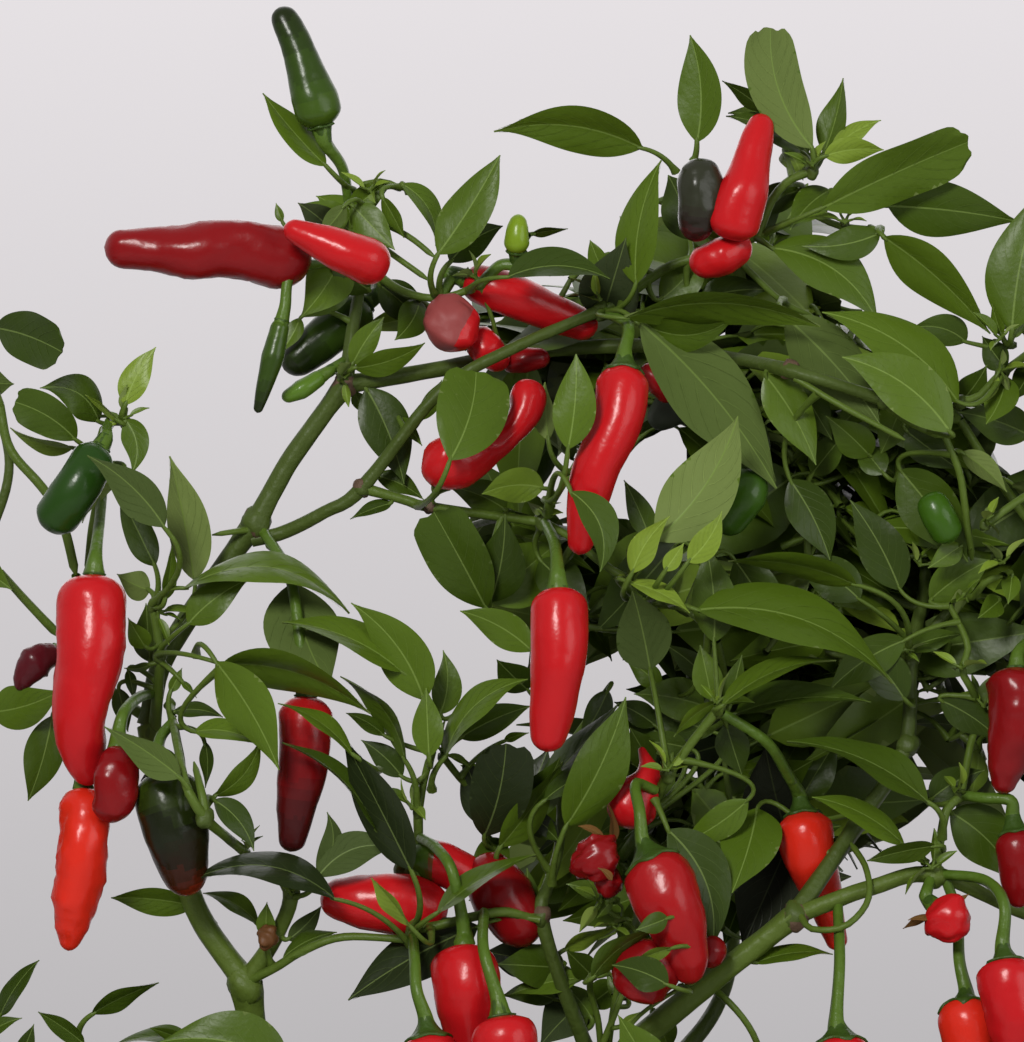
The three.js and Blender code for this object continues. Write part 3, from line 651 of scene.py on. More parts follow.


# Front layer of leaves, as seen: x and y of base and tip, apparent width, bow, back, tone, and the foot of
# the stalk where it is seen. bow is how far the middle lies above (or right of) the straight line.
# Upper-case tones, u and v show the underside, and a tone that ends in t is of a torn leaf. A leaf's tone is
# partly its own colour and partly painted light and shade: darker where it lies in shade, k where the shade
# is deep, and for some shaded leaves paler to make up for the shade.
FRONT_LEAVES = {
    "top left": """
326 166 263 93 28 -5 -2 n 352 190 6, 438 254 500 155 47 4 -12 m 436 296 0, 402 184 436 246 24 9 -4 m,
450 262 503 226 34 5 -4 d 440 296 0, 332 232 298 203 30 2 -2 g, 345 205 318 236 20 2 -10 D,
382 197 404 238 16 2 -6 m, 352 205 395 250 34 0 -4 m, 282 222 276 203 9 0 2 n,
366 388 404 484 50 4 2 d 352 381 4, 392 503 350 519 15 0 -2 d, 420 420 442 380 18 0 4 m,
420 300 395 340 34 4 6 d
""",
    "top centre": """
642 148 494 132 48 18 -10 n 676 172 -6, 697 142 690 35 45 8 -8 m 694 160 -6,
636 284 661 160 42 -6 -10 n 608 312 0, 508 277 610 279 30 10 -16 d 470 290 -2,
531 234 568 229 9 2 0 d 526 236 -2, 450 460 476 372 72 6 -26 mt 418 506 -4, 602 318 626 238 62 0 6 g,
690 240 668 175 46 4 8 d, 660 300 705 250 40 4 4 m
""",
    "top right": """
812 148 770 28 56 -12 -12 Mt 812 172 -8, 766 112 722 81 18 3 -6 d 790 130 -4, 803 153 726 116 26 6 -2 d,
824 153 843 78 28 4 -4 m, 832 150 881 120 20 2 -8 y, 824 156 884 150 26 4 -12 y,
822 208 968 142 58 6 -12 mt 765 233 -2, 888 206 1020 222 56 4 -2 d 845 208 -2,
884 237 990 334 46 9 -10 n 880 229 -2, 880 233 802 246 34 -6 -8 d,
1012 330 1040 190 64 -4 -10 m 1012 345 -2, 1002 336 992 304 12 0 -8 b 1008 345 -4,
1012 338 1026 312 12 0 -8 b 1010 345 -4, 772 248 878 322 50 16 -6 m 758 238 -2, 800 190 740 215 30 2 2 d,
830 190 790 230 34 4 0 m, 780 200 720 250 40 4 8 d
""",
    "centre, under the top": """
625 318 820 327 30 24 -20 n 603 312 0, 637 320 736 316 34 -14 -12 m, 640 325 776 489 74 16 -14 V 606 314 0,
765 375 816 465 46 4 -8 m 795 376 -12, 880 380 836 430 34 2 8 m, 905 395 880 455 36 2 6 n,
800 385 832 440 34 0 6 e, 568 449 576 354 42 3 -36 b 546 500 -8, 548 440 545 382 22 0 -4 U,
786 318 880 424 62 6 -10 V 783 300 0, 958 402 822 312 54 12 -14 n 1000 376 -6, 950 432 842 357 56 12 -22 m,
962 452 1007 492 24 2 -6 U, 966 342 911 328 32 8 -2 d 1005 350 -2, 960 402 987 365 30 2 4 d,
1006 376 986 424 34 4 -2 m, 700 300 770 290 34 4 6 d, 571 492 600 572 32 14 -36 d 548 515 -8,
905 430 960 470 36 0 2 d
""",
    "centre left": """
486 608 434 512 62 2 -2 dt 520 640 2, 490 602 505 514 52 4 0 d, 490 602 558 543 62 2 2 m,
532 651 460 611 36 6 -6 m 556 668 6, 528 690 497 660 34 0 4 d, 540 560 590 610 44 0 8 d,
544 488 482 494 36 6 -6 c, 506 510 446 486 36 4 2 m
""",
    "behind the top left": """
352 228 316 196 34 4 4 b, 352 212 392 185 26 4 4 b, 345 270 300 318 34 6 8 b, 370 290 330 250 34 -4 8 d,
352 365 384 317 26 -2 0 m 345 376 2
""",
    "middle: pale leaf over the wall, sprays round two hubs": """
656 540 738 416 66 10 -30 U 630 578 -12, 632 573 670 516 27 -4 -32 y,
688 562 722 511 27 4 -34 y 650 600 -16, 665 571 684 543 17 0 -34 y 655 590 -20, 650 538 624 480 26 0 -8 d,
630 583 690 613 18 3 -30 y, 714 642 706 546 44 4 -20 e 718 708 -20, 698 610 893 683 58 22 -26 m 672 604 -14,
650 670 632 590 56 2 -16 v 668 772 -18, 722 706 836 660 22 8 -28 m 718 712 -22, 735 714 871 702 27 6 -16 d,
717 702 674 737 15 6 -22 b, 712 700 700 645 30 0 -10 m, 730 706 742 655 22 0 -14 d,
726 724 742 775 34 0 -8 d, 566 826 626 697 52 4 -22 m 552 884 -14, 530 802 619 703 30 6 -8 d 556 838 2,
545 800 600 772 20 3 -16 d, 748 800 682 844 32 -2 -10 m, 757 808 732 893 60 4 0 m,
792 836 742 950 70 0 10 k 815 812 20, 785 830 765 746 66 0 18 k, 800 800 838 738 40 0 20 d,
856 585 728 562 28 14 -16 m 908 656 10, 900 470 968 562 58 4 2 e, 668 830 712 950 54 16 -18 d 655 800 -14,
564 950 620 926 16 5 0 y, 603 897 566 884 18 2 2 n, 612 900 597 918 12 0 -2 b, 628 946 641 890 18 0 2 b,
562 962 498 966 44 0 -4 j, 580 978 512 994 26 2 -6 b, 588 1000 540 1046 50 2 10 g,
668 985 612 965 34 4 -42 d, 672 948 634 962 12 2 -40 c, 592 978 660 928 22 9 -34 e,
592 976 566 950 26 0 -8 d, 622 1026 640 1012 10 0 -6 c, 655 1012 670 1052 30 0 2 m,
634 985 650 950 16 0 4 m, 668 918 636 930 20 0 -42 d 690 930 -28, 755 963 833 954 20 4 -10 m
""",
    "right middle": """
928 802 787 741 34 8 -22 e 942 838 -14, 905 846 812 797 24 6 -16 m 925 862 -12, 935 846 867 861 20 4 -18 d,
950 812 1018 885 56 8 -2 e, 980 720 1030 660 40 0 4 m, 905 700 850 640 42 4 0 d, 860 600 790 560 44 6 2 d,
905 640 830 690 40 6 -2 d, 930 600 990 560 40 4 6 m, 940 700 1000 740 36 4 2 d, 905 650 962 634 22 2 8 d,
1000 600 978 618 24 0 4 m, 1012 574 1008 604 20 0 0 m, 962 545 928 568 24 0 0 n, 612 845 604 798 9 3 -18 w,
604 838 578 826 7 2 -26 w, 612 880 598 868 7 1 -36 w, 930 916 903 929 9 2 -22 w, 930 918 908 920 6 1 -24 w,
955 905 969 894 6 0 -22 w, 900 590 850 500 48 4 6 d, 790 480 830 560 46 4 0 d, 735 560 780 640 48 4 4 d,
930 800 985 770 34 4 2 d
""",
    "left, from the elbow": """
184 588 350 613 28 26 -18 n 155 606 -8, 188 624 251 578 36 4 -14 m 160 650 -6,
292 583 332 690 74 -6 -8 V 270 545 2, 424 700 351 603 50 12 -20 n 432 722 -12, 402 672 282 622 34 8 -20 m,
429 757 426 688 31 0 -22 b, 440 714 443 650 30 6 -10 m 466 706 -4, 445 757 528 679 26 12 -18 m 432 790 -10,
460 738 531 706 32 2 -8 d 443 757 -8, 222 664 370 714 38 20 -28 n 158 655 -6,
216 662 279 770 46 7 -34 m 196 655 -14, 405 760 340 677 20 16 -14 m 416 808 -8, 385 736 346 713 15 2 -12 d,
352 754 278 703 17 4 -36 b 378 770 -20, 378 832 282 742 20 10 -30 e 402 845 -14,
411 870 341 734 46 4 -32 j 412 928 -16, 402 777 361 740 26 3 -6 d, 318 877 327 812 26 11 -16 v 292 896 -8,
318 877 396 848 38 14 -18 v, 335 899 192 880 30 18 -26 j 411 946 -16, 195 906 111 898 28 5 4 m 214 925 4,
258 924 203 893 19 5 2 m, 266 938 267 902 19 0 -8 b 272 965 -4, 283 958 337 932 20 3 -8 d,
288 940 322 905 21 2 -6 v, 478 926 348 1000 52 2 -14 j 540 920 -14, 410 926 371 878 13 2 -40 y,
437 913 536 854 20 4 -26 m 414 932 -17, 484 836 506 744 60 4 -6 jt 500 850 2, 500 847 563 762 32 -2 -10 m,
482 826 462 756 34 4 -2 j 498 852 2, 530 820 559 842 24 3 0 d, 522 918 527 868 24 2 -6 d,
505 840 470 880 34 0 2 d
""",
    "far left": """
-4 328 62 352 50 4 -8 dt, -30 382 14 384 42 0 -6 v, 99 422 40 388 42 14 -4 d 112 424 -2,
76 440 15 402 40 6 -14 dt 100 470 -2, 73 448 10 428 15 -3 -8 c, 125 405 156 347 29 -3 -10 y 122 422 -6,
118 421 85 395 7 3 -10 y, 125 419 131 475 27 9 -8 m, 124 470 82 523 24 -6 -4 y,
164 527 87 456 40 8 -31 v 153 603 -10, 195 580 170 456 44 0 -6 U 158 640 -4,
155 566 120 493 32 -2 -8 d 155 603 -6, 150 590 117 574 30 -2 -4 u, 150 662 146 603 32 0 -2 d,
146 648 128 618 22 0 -10 b, 165 600 172 545 14 0 -14 b, -10 712 62 690 46 -4 -2 b -60 700 4,
52 716 28 801 40 2 0 d, -45 560 12 590 40 4 -6 m
""",
    "at the left elbow": """
180 778 104 727 32 5 -40 v 190 795 -38, 176 775 140 745 28 0 -8 m, 205 742 205 788 14 4 -10 d,
215 796 260 741 22 6 -24 m 206 814 -36, 214 800 254 851 27 6 -26 d 207 815 -36,
194 732 262 746 22 6 -16 b 221 668 -30, 172 712 223 717 15 3 -8 d
""",
    "bottom left": """
288 1066 160 1042 62 12 -16 m 290 1100 6, 190 1038 112 1046 18 4 -4 d, 188 1042 150 1028 12 2 -8 m,
0 1016 39 960 20 -2 -4 d -40 1030 6, 92 1014 159 983 20 5 -6 d 78 1040 -2,
84 1044 38 1012 20 3 -6 d 100 1075 2, -20 1042 22 1018 16 3 -6 d, 20 1060 34 1024 18 0 -2 d,
660 1085 618 1015 46 0 -26 m 680 1110 -8
""",
    "smaller leaves between the others": """
354 368 425 343 25 -3 -3 n 347 376 2, 354 392 366 415 15 0 5 m, 400 418 422 446 14 2 0 m,
504 741 529 733 9 2 -2 m, 520 815 560 757 40 4 -6 d 505 838 2, 1006 369 982 336 28 0 -5 d,
1034 366 1012 402 28 0 2 d, 1030 436 958 412 42 4 6 d, 870 456 826 416 36 2 8 m, 812 474 848 430 32 0 12 e,
884 474 856 440 30 0 6 e, 170 692 182 668 12 0 -10 b, 181 680 197 698 7 0 -10 m, 152 664 124 668 9 -3 -6 d,
128 670 134 700 12 0 0 d, 118 688 128 732 20 0 0 d, 556 1000 502 996 24 4 2 e, 618 984 586 1008 30 0 4 d,
628 1000 606 972 22 0 2 m, 510 822 548 748 46 4 -4 j 502 850 2, 502 838 528 764 26 3 0 j 500 855 2,
530 818 559 846 20 5 -4 j, 704 706 634 694 44 3 12 m, 714 732 644 716 32 2 14 d, 706 678 664 644 24 3 6 d,
688 748 628 742 26 3 10 e, 608 690 578 742 26 2 6 d, 566 968 498 964 44 0 -2 d, 592 1018 560 982 26 2 2 m,
808 154 728 113 36 12 6 n, 786 150 803 180 28 2 4 c, 344 250 300 318 50 4 6 m 352 240 6,
378 284 424 328 38 3 8 d, 300 318 281 352 18 2 8 m, 376 476 424 500 22 3 4 d, 352 232 300 204 34 3 4 n,
676 744 618 712 42 2 12 d, 652 768 630 728 30 0 10 e, 660 688 626 660 24 3 10 m, 540 966 484 952 38 2 14 j,
656 726 614 702 26 2 12 d, 604 274 590 240 20 0 4 m, 628 246 620 216 14 0 4 n
""",
}
SHOWS_UNDERSIDE = {"D": "d", "M": "m", "U": "n", "V": "e", "v": "d", "u": "m"}

# How far a leaf can lean away in pixels, a blade's usual width to its length, the least cosine of a slope
LEAN_LIMIT = 80
ASPECT = 0.44
SLOPE_LIMIT = 0.42

# Points along a blade and from its midrib to its edge
FRONT_GRID, GROWN_GRID, BUD_GRID = (24, 6), (12, 3), (9, 3)

# Ranges of a blade's arch, fold, curl, wave, twist and sharpness
SHAPE_NAMES = ("arch", "fold", "curl", "wave", "twist", "sharp")
FRONT_SHAPE = [(0.04, 0.10), (0.12, 0.34), (0.0, 0.25), (0.04, 0.12), (-0.3, 0.3), (0.15, 0.45)]
GROWN_SHAPE = [(0.04, 0.14), (0.1, 0.35), (0.0, 0.3), (0.03, 0.1), (-0.4, 0.4), (0.15, 0.45)]

# Radii of leaf stalks in millimetres at foot and end, how soon they bend, and how far they reach on the blade
FRONT_STALK, GROWN_STALK, BUD_STALK = (0.85, 0.55), (0.75, 0.5), (0.5, 0.35)
STALK_BEND = 0.45
STALK_OVERLAP = 0.0012
SHORTEST_STALK = 0.0015


def draw_shape(luck, ranges):
    return {name: luck.uniform(*limits) for name, limits in zip(SHAPE_NAMES, ranges)}


def stalk(bundle, start, end, heading, radius, rings=7, sides=5):
    """The stalk of a leaf: it leaves the wood and bends into the blade's heading."""
    control = end - heading * norm(end - start) * STALK_BEND
    u = np.linspace(0, 1, rings)[:, None]
    line = (1 - u) ** 2 * start + 2 * u * (1 - u) * control + u**2 * (end + heading * STALK_OVERLAP)
    radii = MM * (radius[0] + (radius[1] - radius[0]) * u[:, 0])
    radii[0] *= 1.5
    radii[1] *= 1.2
    radii[-1] *= 0.6
    tube(bundle, line, radii, sides, ribs=2, rib_depth=0.12)


front_leaves = {tone: Bundle() for tone in TONES}
petioles = Bundle()


def place_front_leaf(luck, bx, by, tx, ty, wide, bow_px, back, code, *foot):
    """A leaf whose base, tip, width and bow are given as they are seen."""
    long_px = math.hypot(tx - bx, ty - by)
    true_long = max(long_px, wide / (ASPECT + 0.10))
    lean = min(LEAN_LIMIT, math.sqrt(max(0.0, true_long**2 - long_px**2))) * PIXEL_MM
    lean = lean * (0.6 if luck.random() < 0.25 else -1) + luck.uniform(-2, 1)
    base, tip = seen(bx, by, back), seen(tx, ty, back + lean)
    shown = wide / max(long_px, 1)
    slope = math.acos(max(SLOPE_LIMIT, shown / ASPECT)) if shown < ASPECT else luck.uniform(0.0, 0.3)
    slope *= 1 if luck.random() < 0.5 else -1
    heading = unit(tip - base)
    side = unit(np.cross(unit(EYE - (base + tip) / 2), heading))
    facing = unit(np.cross(heading, side))
    face = facing * math.cos(slope) + side * math.sin(slope)
    tone = SHOWS_UNDERSIDE.get(code[0], code[0])
    if code[0] in SHOWS_UNDERSIDE:
        face = -face
    if tone in NEIGHBOUR and luck.random() < 0.5:
        tone = NEIGHBOUR[tone]
    across = np.array([ty - by, bx - tx]) / max(long_px, 1)
    level = abs(tx - bx) >= abs(ty - by)
    if (level and across[1] > 0) or (not level and across[0] < 0):
        across = -across
    bow = np.array([across[0], 0, -across[1]]) * bow_px * 2 * PIXEL
    shape = draw_shape(luck, FRONT_SHAPE)
    leaf(
        front_leaves[tone], base, tip, wide * PIXEL / math.cos(slope), face, *FRONT_GRID, luck.random(),
        bow=bow, torn=code.endswith("t"), veins=True, **shape,
    )
    start = seen(*foot) if foot else WOOD[np.argmin(norm(WOOD - base, axis=1))]
    if tone != "w" and norm(start - base) > SHORTEST_STALK:
        stalk(petioles, start, base, heading, FRONT_STALK, rings=12, sides=7)


front_rows = [row for region in FRONT_LEAVES.values() for row in read_places(region)]
for number, row in enumerate(front_rows):
    place_front_leaf(dice(LEAF_SEED + number), *row)

# Tiny leaves unfolding at the nodes
BUDS = read_places("""
600 300 -2, 545 515 -6, 958 790 -8, 985 520 -10, 920 565 10, 432 500 -6, 628 576 -14, 716 704 -24,
812 165 -12, 845 222 -8, 158 612 -10, 412 808 -10, 288 890 -12, 932 868 -14, 340 380 -2, 125 418 -8,
476 278 -6, 1000 370 -8, 668 770 -20, 245 850 -10, 600 902 -4, 612 925 -6, 728 246 -4, 905 650 6, 370 190 0,
443 752 -10, 1003 562 -8, 962 668 -8, 984 706 -2, 964 594 -4, 1000 338 -10
""")


BUD_LEAVES = 4
BUD_LONG = (0.004, 0.0095)
BUD_ASPECT = (0.3, 0.42)


def place_bud(spot, luck):
    """A few small leaves that spread from a node."""
    for _ in range(BUD_LEAVES):
        out = unit(luck.normal(0, 1, 3) + np.array([0, -0.2, 0.6]))
        start = seen(*spot)
        base = start + out * SHORTEST_STALK
        tip = base + unit(out + luck.normal(0, 0.3, 3)) * luck.uniform(*BUD_LONG)
        tone = luck.choice(["n", "b", "c", "y"])
        width = norm(tip - base) * luck.uniform(*BUD_ASPECT)
        face = unit(np.array([0, -0.5, 1]) + luck.normal(0, 0.5, 3))
        leaf(front_leaves[tone], base, tip, width, face, *BUD_GRID, luck.random(), fold=0.6)
        stalk(petioles, start, base, out, BUD_STALK)


for number, spot in enumerate(BUDS):
    place_bud(spot, dice(BUD_SEED + number))


# Fruits: plain tones, and tones that turn along the fruit (name of the steps, their number, from this share,
# to this share, and colours as share, red, green and blue)
FRUIT_TONES = {
    "red": (0.350, 0.006, 0.008),
    "bright": (0.460, 0.016, 0.007),
    # The next tone is a deeper red, given also to fruits that lie in shade: partly the fruits' own colour,
    # partly painted shade.
    "dark": (0.150, 0.003, 0.004),
    # The next tone is red darkened for a fruit that lies partly in shade: painted shade.
    "crimson": (0.240, 0.005, 0.006),
    "maroon": (0.060, 0.005, 0.008),
    "slate": (0.034, 0.044, 0.028),
    "fresh": (0.060, 0.120, 0.012),
    "lime": (0.120, 0.190, 0.010),
    "green": (0.026, 0.070, 0.004),
    "leafy": (0.028, 0.072, 0.006),
    "bottle": (0.012, 0.038, 0.004),
    "deep": (0.014, 0.040, 0.005),
    "tan": (0.085, 0.034, 0.010),
    "bruise": (0.180, 0.034, 0.032),
}
DULL_TONES = {"tan", "bruise", "slate"}
TURNING_TONES = {
    "unripe": ("green", 7, 0, 1, "0 .036 .07 .006, .35 .024 .05 .005, .7 .015 .029 .004, 1 .009 .015 .003"),
    "turning": ("turning", 14, 0.02, 1.0, """0 .06 .102 .006, .2 .02 .034 .003, .45 .006 .009 .002,
        .7 .01 .005 .001, .88 .05 .007 .002, 1 .16 .012 .004"""),
    "capped_green": ("capped", 8, 0.30, 0.47, """0 .034 .08 .006, .5 .032 .05 .005, .75 .1 .024 .005,
        1 .32 .006 .008"""),
    "aged": ("aged", 6, 0.50, 0.95, "0 .019 .021 .012, .5 .013 .008 .006, 1 .05 .005 .006"),
    "wine": ("wine", 10, .15, 1, "0 .24 .005 .006, .35 .12 .003 .004, .7 .045 .003 .003, 1 .022 .003 .003"),
}


def ramp_tones(ramp, steps, start, end, stops):
    """The steps between the colours of a tone that turns."""
    shares, *channels = np.array(read_places(stops)).T
    for step in range(steps):
        share = step / (steps - 1)
        FRUIT_TONES[f"{ramp}_{step}"] = [np.interp(share, shares, channel) for channel in channels]


for facts in TURNING_TONES.values():
    ramp_tones(*facts)
FRUIT_NAMES = list(FRUIT_TONES)

# The crushed fruit is red, with a bruise that looks this way, across and up
BRUISE_LOOK = unit(np.array([-0.7, -0.6, 0.45]))
BRUISE_LIMIT = 0.10
DULL_ROUGHNESS, FRUIT_ROUGHNESS, FRUIT_SHINE = 0.5, 0.26, 0.20


def fruit_material(name, colour):
    roughness = DULL_ROUGHNESS if name in DULL_TONES else FRUIT_ROUGHNESS
    material, tree, shader = new_material("fruit_" + name, colour, roughness, FRUIT_SHINE)
    double_relief(tree, shader, fine=420.0, coarse=120.0, distance=0.0008, strength=0.35)
    return material


# Each fruit: places along its axis from the stalk end, widths in pixels as (share, width), then its tone,
# dents, wrinkles and the share of the shoulder under the cap, and last the stalk where it has one
FRUITS = """
322 132 -4, 306 72 -6, 279 7 -6 | 0 38, .14 47, .28 47, .46 39, .62 33, .85 30, 1 24 | unripe .09 .02 .6 |
349 203 6, 342 168 2, 326 137 -4;
316 262 -8, 240 250 -12, 190 251 -14, 104 247 -14 | 0 46, .15 60, .45 60, .6 56, .75 44, .88 38, 1 36 |
dark .13 .06 0;
392 270 -20, 345 252 -24, 284 226 -24 | 0 42, .25 48, .5 42, .8 28, 1 18 | red .09 .02 0;
282 318 -14, 272 360 -14, 257 413 -14 | 0 18, .4 22, .8 14, 1 8 | unripe .08 .03 .7 | 362 262 12, 330 262 0,
292 272 -12, 284 314 -14;
370 300 18, 330 333 15, 284 370 12 | 0 42, .4 47, .85 36, 1 30 | unripe .06 .01 .5 | 365 262 12, 380 280 18,
373 298 18;
325 374 -2, 304 388 -4, 282 399 -4 | 0 15, .6 20, 1 12 | fresh .06 .02 .6 | 345 360 4, 327 372 -2;
468 304 2, 452 326 -2, 440 350 -2 | 0 44, .3 56, .7 58, 1 48 | crushed .2 .12 0;
470 330 6, 486 348 4, 506 368 6 | 0 30, .5 36, 1 22 | red .1 .06 0;
460 277 3, 518 298 3, 597 330 8 | 0 34, .25 44, .55 42, .8 36, 1 28 | red .07 .02 .5 | 440 298 0, 450 280 2,
461 276 3;
500 362 10, 526 360 8, 550 357 8 | 0 22, .5 26, 1 18 | dark .06 .02 0;
528 378 -4, 524 414 -8, 496 445 -10, 452 460 -12, 424 450 -12 | 0 34, .15 38, .4 24, .55 30, .75 56, .88 58,
1 44 | red .06 .01 0;
624 362 -24, 618 420 -28, 594 474 -28, 578 555 -24 | 0 44, .1 52, .35 49, .6 46, .8 38, 1 20 |
red .045 .008 .8 | 606 312 0, 628 326 -16, 625 358 -24;
640 366 -8, 662 385 -10, 668 402 -8 | 0 22, .6 26, 1 14 | dark .06 .04 0;
692 388 8, 672 408 6, 650 425 6 | 0 36, .5 46, 1 20 | slate .14 .12 0;
558 583 -34, 559 650 -38, 546 752 -34 | 0 48, .1 56, .5 54, .8 42, 1 30 | red .05 .008 .34 | 545 523 -4,
555 545 -24, 558 581 -34;
726 244 -14, 742 195 -16, 764 114 -12 | 0 40, .15 52, .38 50, .6 40, .8 32, 1 20 | red .08 .02 0;
752 240 -8, 720 256 -10, 690 267 -8 | 0 30, .5 40, 1 30 | red .1 .05 0;
702 156 -14, 700 195 -16, 694 242 -14 | 0 36, .3 45, .7 38, 1 24 | aged .1 .08 0;
517 254 -6, 517 238 -8, 519 214 -8 | 0 20, .3 26, .7 21, 1 12 | lime .04 0 .8 | 480 284 -2, 500 266 -4,
516 255 -6;
95 568 -22, 90 650 -26, 80 720 -26, 90 786 -22 | 0 60, .07 68, .3 66, .55 62, .8 50, .92 34, 1 16 |
red .08 .035 .3 | 104 475 2, 100 520 -10, 97 566 -22;
118 744 -28, 116 780 -31, 108 822 -28 | 0 26, .4 46, .75 44, 1 26 | dark .22 .07 0 | 152 694 2, 138 698 -12,
124 712 -24, 119 742 -28;
84 784 -18, 82 850 -22, 68 951 -18 | 0 36, .15 50, .42 53, .68 46, .86 32, 1 12 | bright .13 .1 0 |
84 640 12, 96 740 0, 85 783 -18;
60 652 -4, 36 662 -8, 17 690 -8 | 0 16, .5 36, .85 20, 1 5 | maroon .14 .1 .6 | 66 640 6, 60 651 -4;
158 768 -22, 172 820 -26, 191 895 -22 | 0 42, .2 64, .5 66, .8 48, 1 32 | turning .06 .01 .6 | 173 722 -9,
161 736 -15, 157 752 -20, 158 766 -22;
306 690 -16, 303 760 -18, 290 852 -16 | 0 50, .15 54, .45 48, .75 38, 1 24 | wine .09 .03 .45 | 262 530 4,
289 575 -10, 300 640 -16, 306 688 -16;
101 446 -16, 78 485 -22, 48 530 -18 | 0 34, .2 42, .6 46, .85 44, 1 36 | bottle .05 0 .5 | 112 416 -2,
107 428 -8, 102 444 -16;
452 909 -4, 390 903 -8, 320 899 -6 | 0 44, .3 60, .7 56, 1 34 | red .08 .03 0;
410 868 0, 440 862 -4, 478 884 -2 | 0 34, .3 44, .8 44, 1 28 | capped_green .08 .02 .5 | 420 845 -4,
406 856 -2, 409 867 0;
478 858 0, 505 900 -8, 532 944 -8 | 0 40, .5 66, 1 44 | dark .08 .02 0;
464 940 -22, 466 990 -26, 472 1080 -22 | 0 60, .1 70, .45 64, .7 50, 1 28 | red .09 .04 0 | 421 838 -6,
436 848 -16, 452 872 -24, 462 937 -24;
500 1010 -38, 506 1050 -40, 512 1120 -36 | 0 54, .12 66, .6 58, 1 32 | red .05 .01 .42 | 484 912 -16,
484 950 -34, 497 1008 -38;
427 1028 -34, 432 1070 -36, 436 1130 -34 | 0 46, .12 56, .6 50, 1 30 | red .05 .01 .86 | 413 934 -16,
415 960 -28, 417 990 -33, 426 1026 -34;
584 842 -24, 598 860 -28, 608 872 -26 | 0 38, .5 52, 1 38 | dark .22 .24 0;
600 876 -24, 609 882 -26, 620 884 -24 | 0 24, .5 30, 1 20 | dark .2 .24 0;
618 828 -8, 634 800 -10, 648 774 -10, 641 747 -6 | 0 40, .3 54, .6 30, .82 14, 1 6 | red .06 .02 0;
647 850 -30, 664 890 -33, 680 930 -33, 692 984 -30 | 0 62, .12 68, .4 64, .62 54, .82 44, 1 22 |
crimson .09 .03 .86 | 655 790 -14, 636 784 -20, 640 812 -28, 646 848 -30;
712 935 -18, 712 950 -20, 708 968 -20 | 0 24, .5 30, 1 20 | dark .08 .05 0;
668 948 -26, 647 972 -30, 634 1000 -28 | 0 50, .4 68, .8 60, 1 40 | dark .14 .08 0;
801 806 2, 808 850 0, 824 900 4, 840 950 6 | 0 48, .12 58, .35 54, .7 34, 1 18 | bright .08 .03 .7 |
722 713 -20, 766 742 -14, 788 775 -4, 799 804 2;
934 906 -18, 948 920 -22, 956 938 -20 | 0 40, .45 49, 1 32 | red .18 .14 .5 | 930 880 -12, 926 894 -16,
933 905 -18;
264 926 -8, 268 938 -10, 262 947 -8 | 0 10, .5 18, 1 12 | tan .25 .44 0;
966 1000 -22, 968 1030 -26, 972 1085 -24 | 0 50, .15 58, .6 50, 1 30 | bright .06 .01 .96 | 945 878 -10,
957 915 -10, 959 960 -18, 964 998 -22;
1004 955 -30, 1012 1000 -34, 1024 1075 -32 | 0 56, .12 72, .6 58, 1 30 | red .1 .04 .66 | 940 874 -10,
985 880 -18, 1004 905 -28, 1006 953 -30;
1018 664 -8, 1014 720 -12, 1002 794 -10 | 0 44, .16 62, .5 52, .8 38, 1 18 | dark .14 .07 .4 | 1056 556 14,
1034 630 0, 1019 662 -8;
1014 826 -10, 1018 860 -12, 1018 908 -10 | 0 44, .2 46, .7 34, 1 16 | dark .06 0 .8 | 960 795 -4,
985 798 -8, 1010 800 -10, 1013 824 -10;
838 1030 -34, 842 1065 -36, 848 1120 -34 | 0 52, .15 62, .6 56, 1 30 | red .05 0 .9 | 838 903 -12,
840 960 -26, 838 1028 -34;
758 468 -8, 742 498 -10, 722 534 -8 | 0 36, .4 46, 1 28 | leafy .06 0 0;
926 492 -6, 938 515 -8, 952 542 -6 | 0 30, .5 34, .85 32, 1 26 | green .05 0 0
"""


# Length of a fruit's rounded shoulder and nose and depth of its dip, as shares of the half width there
SHOULDER_LONG, NOSE_LONG, SHOULDER_SUNK = 1.25, 1.05, 0.22


def fruit_profile(table, share, length):
    """Half width along a fruit in metres with rounded ends, and how far its shoulder is sunk."""
    half = np.interp(share, *np.transpose(table)) * PIXEL / 2
    shoulder = np.clip(share * length / (SHOULDER_LONG * half[0]), 0.010, 1)
    nose = np.clip((1 - share) * length / (NOSE_LONG * half[-1]), 0, 1)
    sunk = SHOULDER_SUNK * half[0] * (1 - shoulder) ** 3
    return half * (1 - (1 - shoulder) ** 2.3) ** 0.56 * np.sqrt(1 - (1 - nose) ** 2), sunk


FRUIT_SIDES = 28
WRINKLED_RINGS, SMOOTH_RINGS, GROWN_RINGS = 46, 40, 22
SHOULDER_RINGS = 16
STALK_RINGS = 36
LINE_POINTS = 240
LOBE = 0.028
DENT_SIZE, FOLD_SIZE, FINE_FOLD_SIZE = 0.012, 0.0038, 0.0024

# Teeth of a cap and how deep they are cut, and how far its top and its waist stand off the fruit
TEETH, TEETH_SHARE = 5, 0.20
CAP_TOP, CAP_WAIST = 0.0030, 0.0008

# Radius of a fruit's stalk, and how far it flares towards the fruit and over what length
FRUIT_STALK, STALK_FLARE, STALK_FLARE_REACH = 0.0016, 0.0012, 0.0034


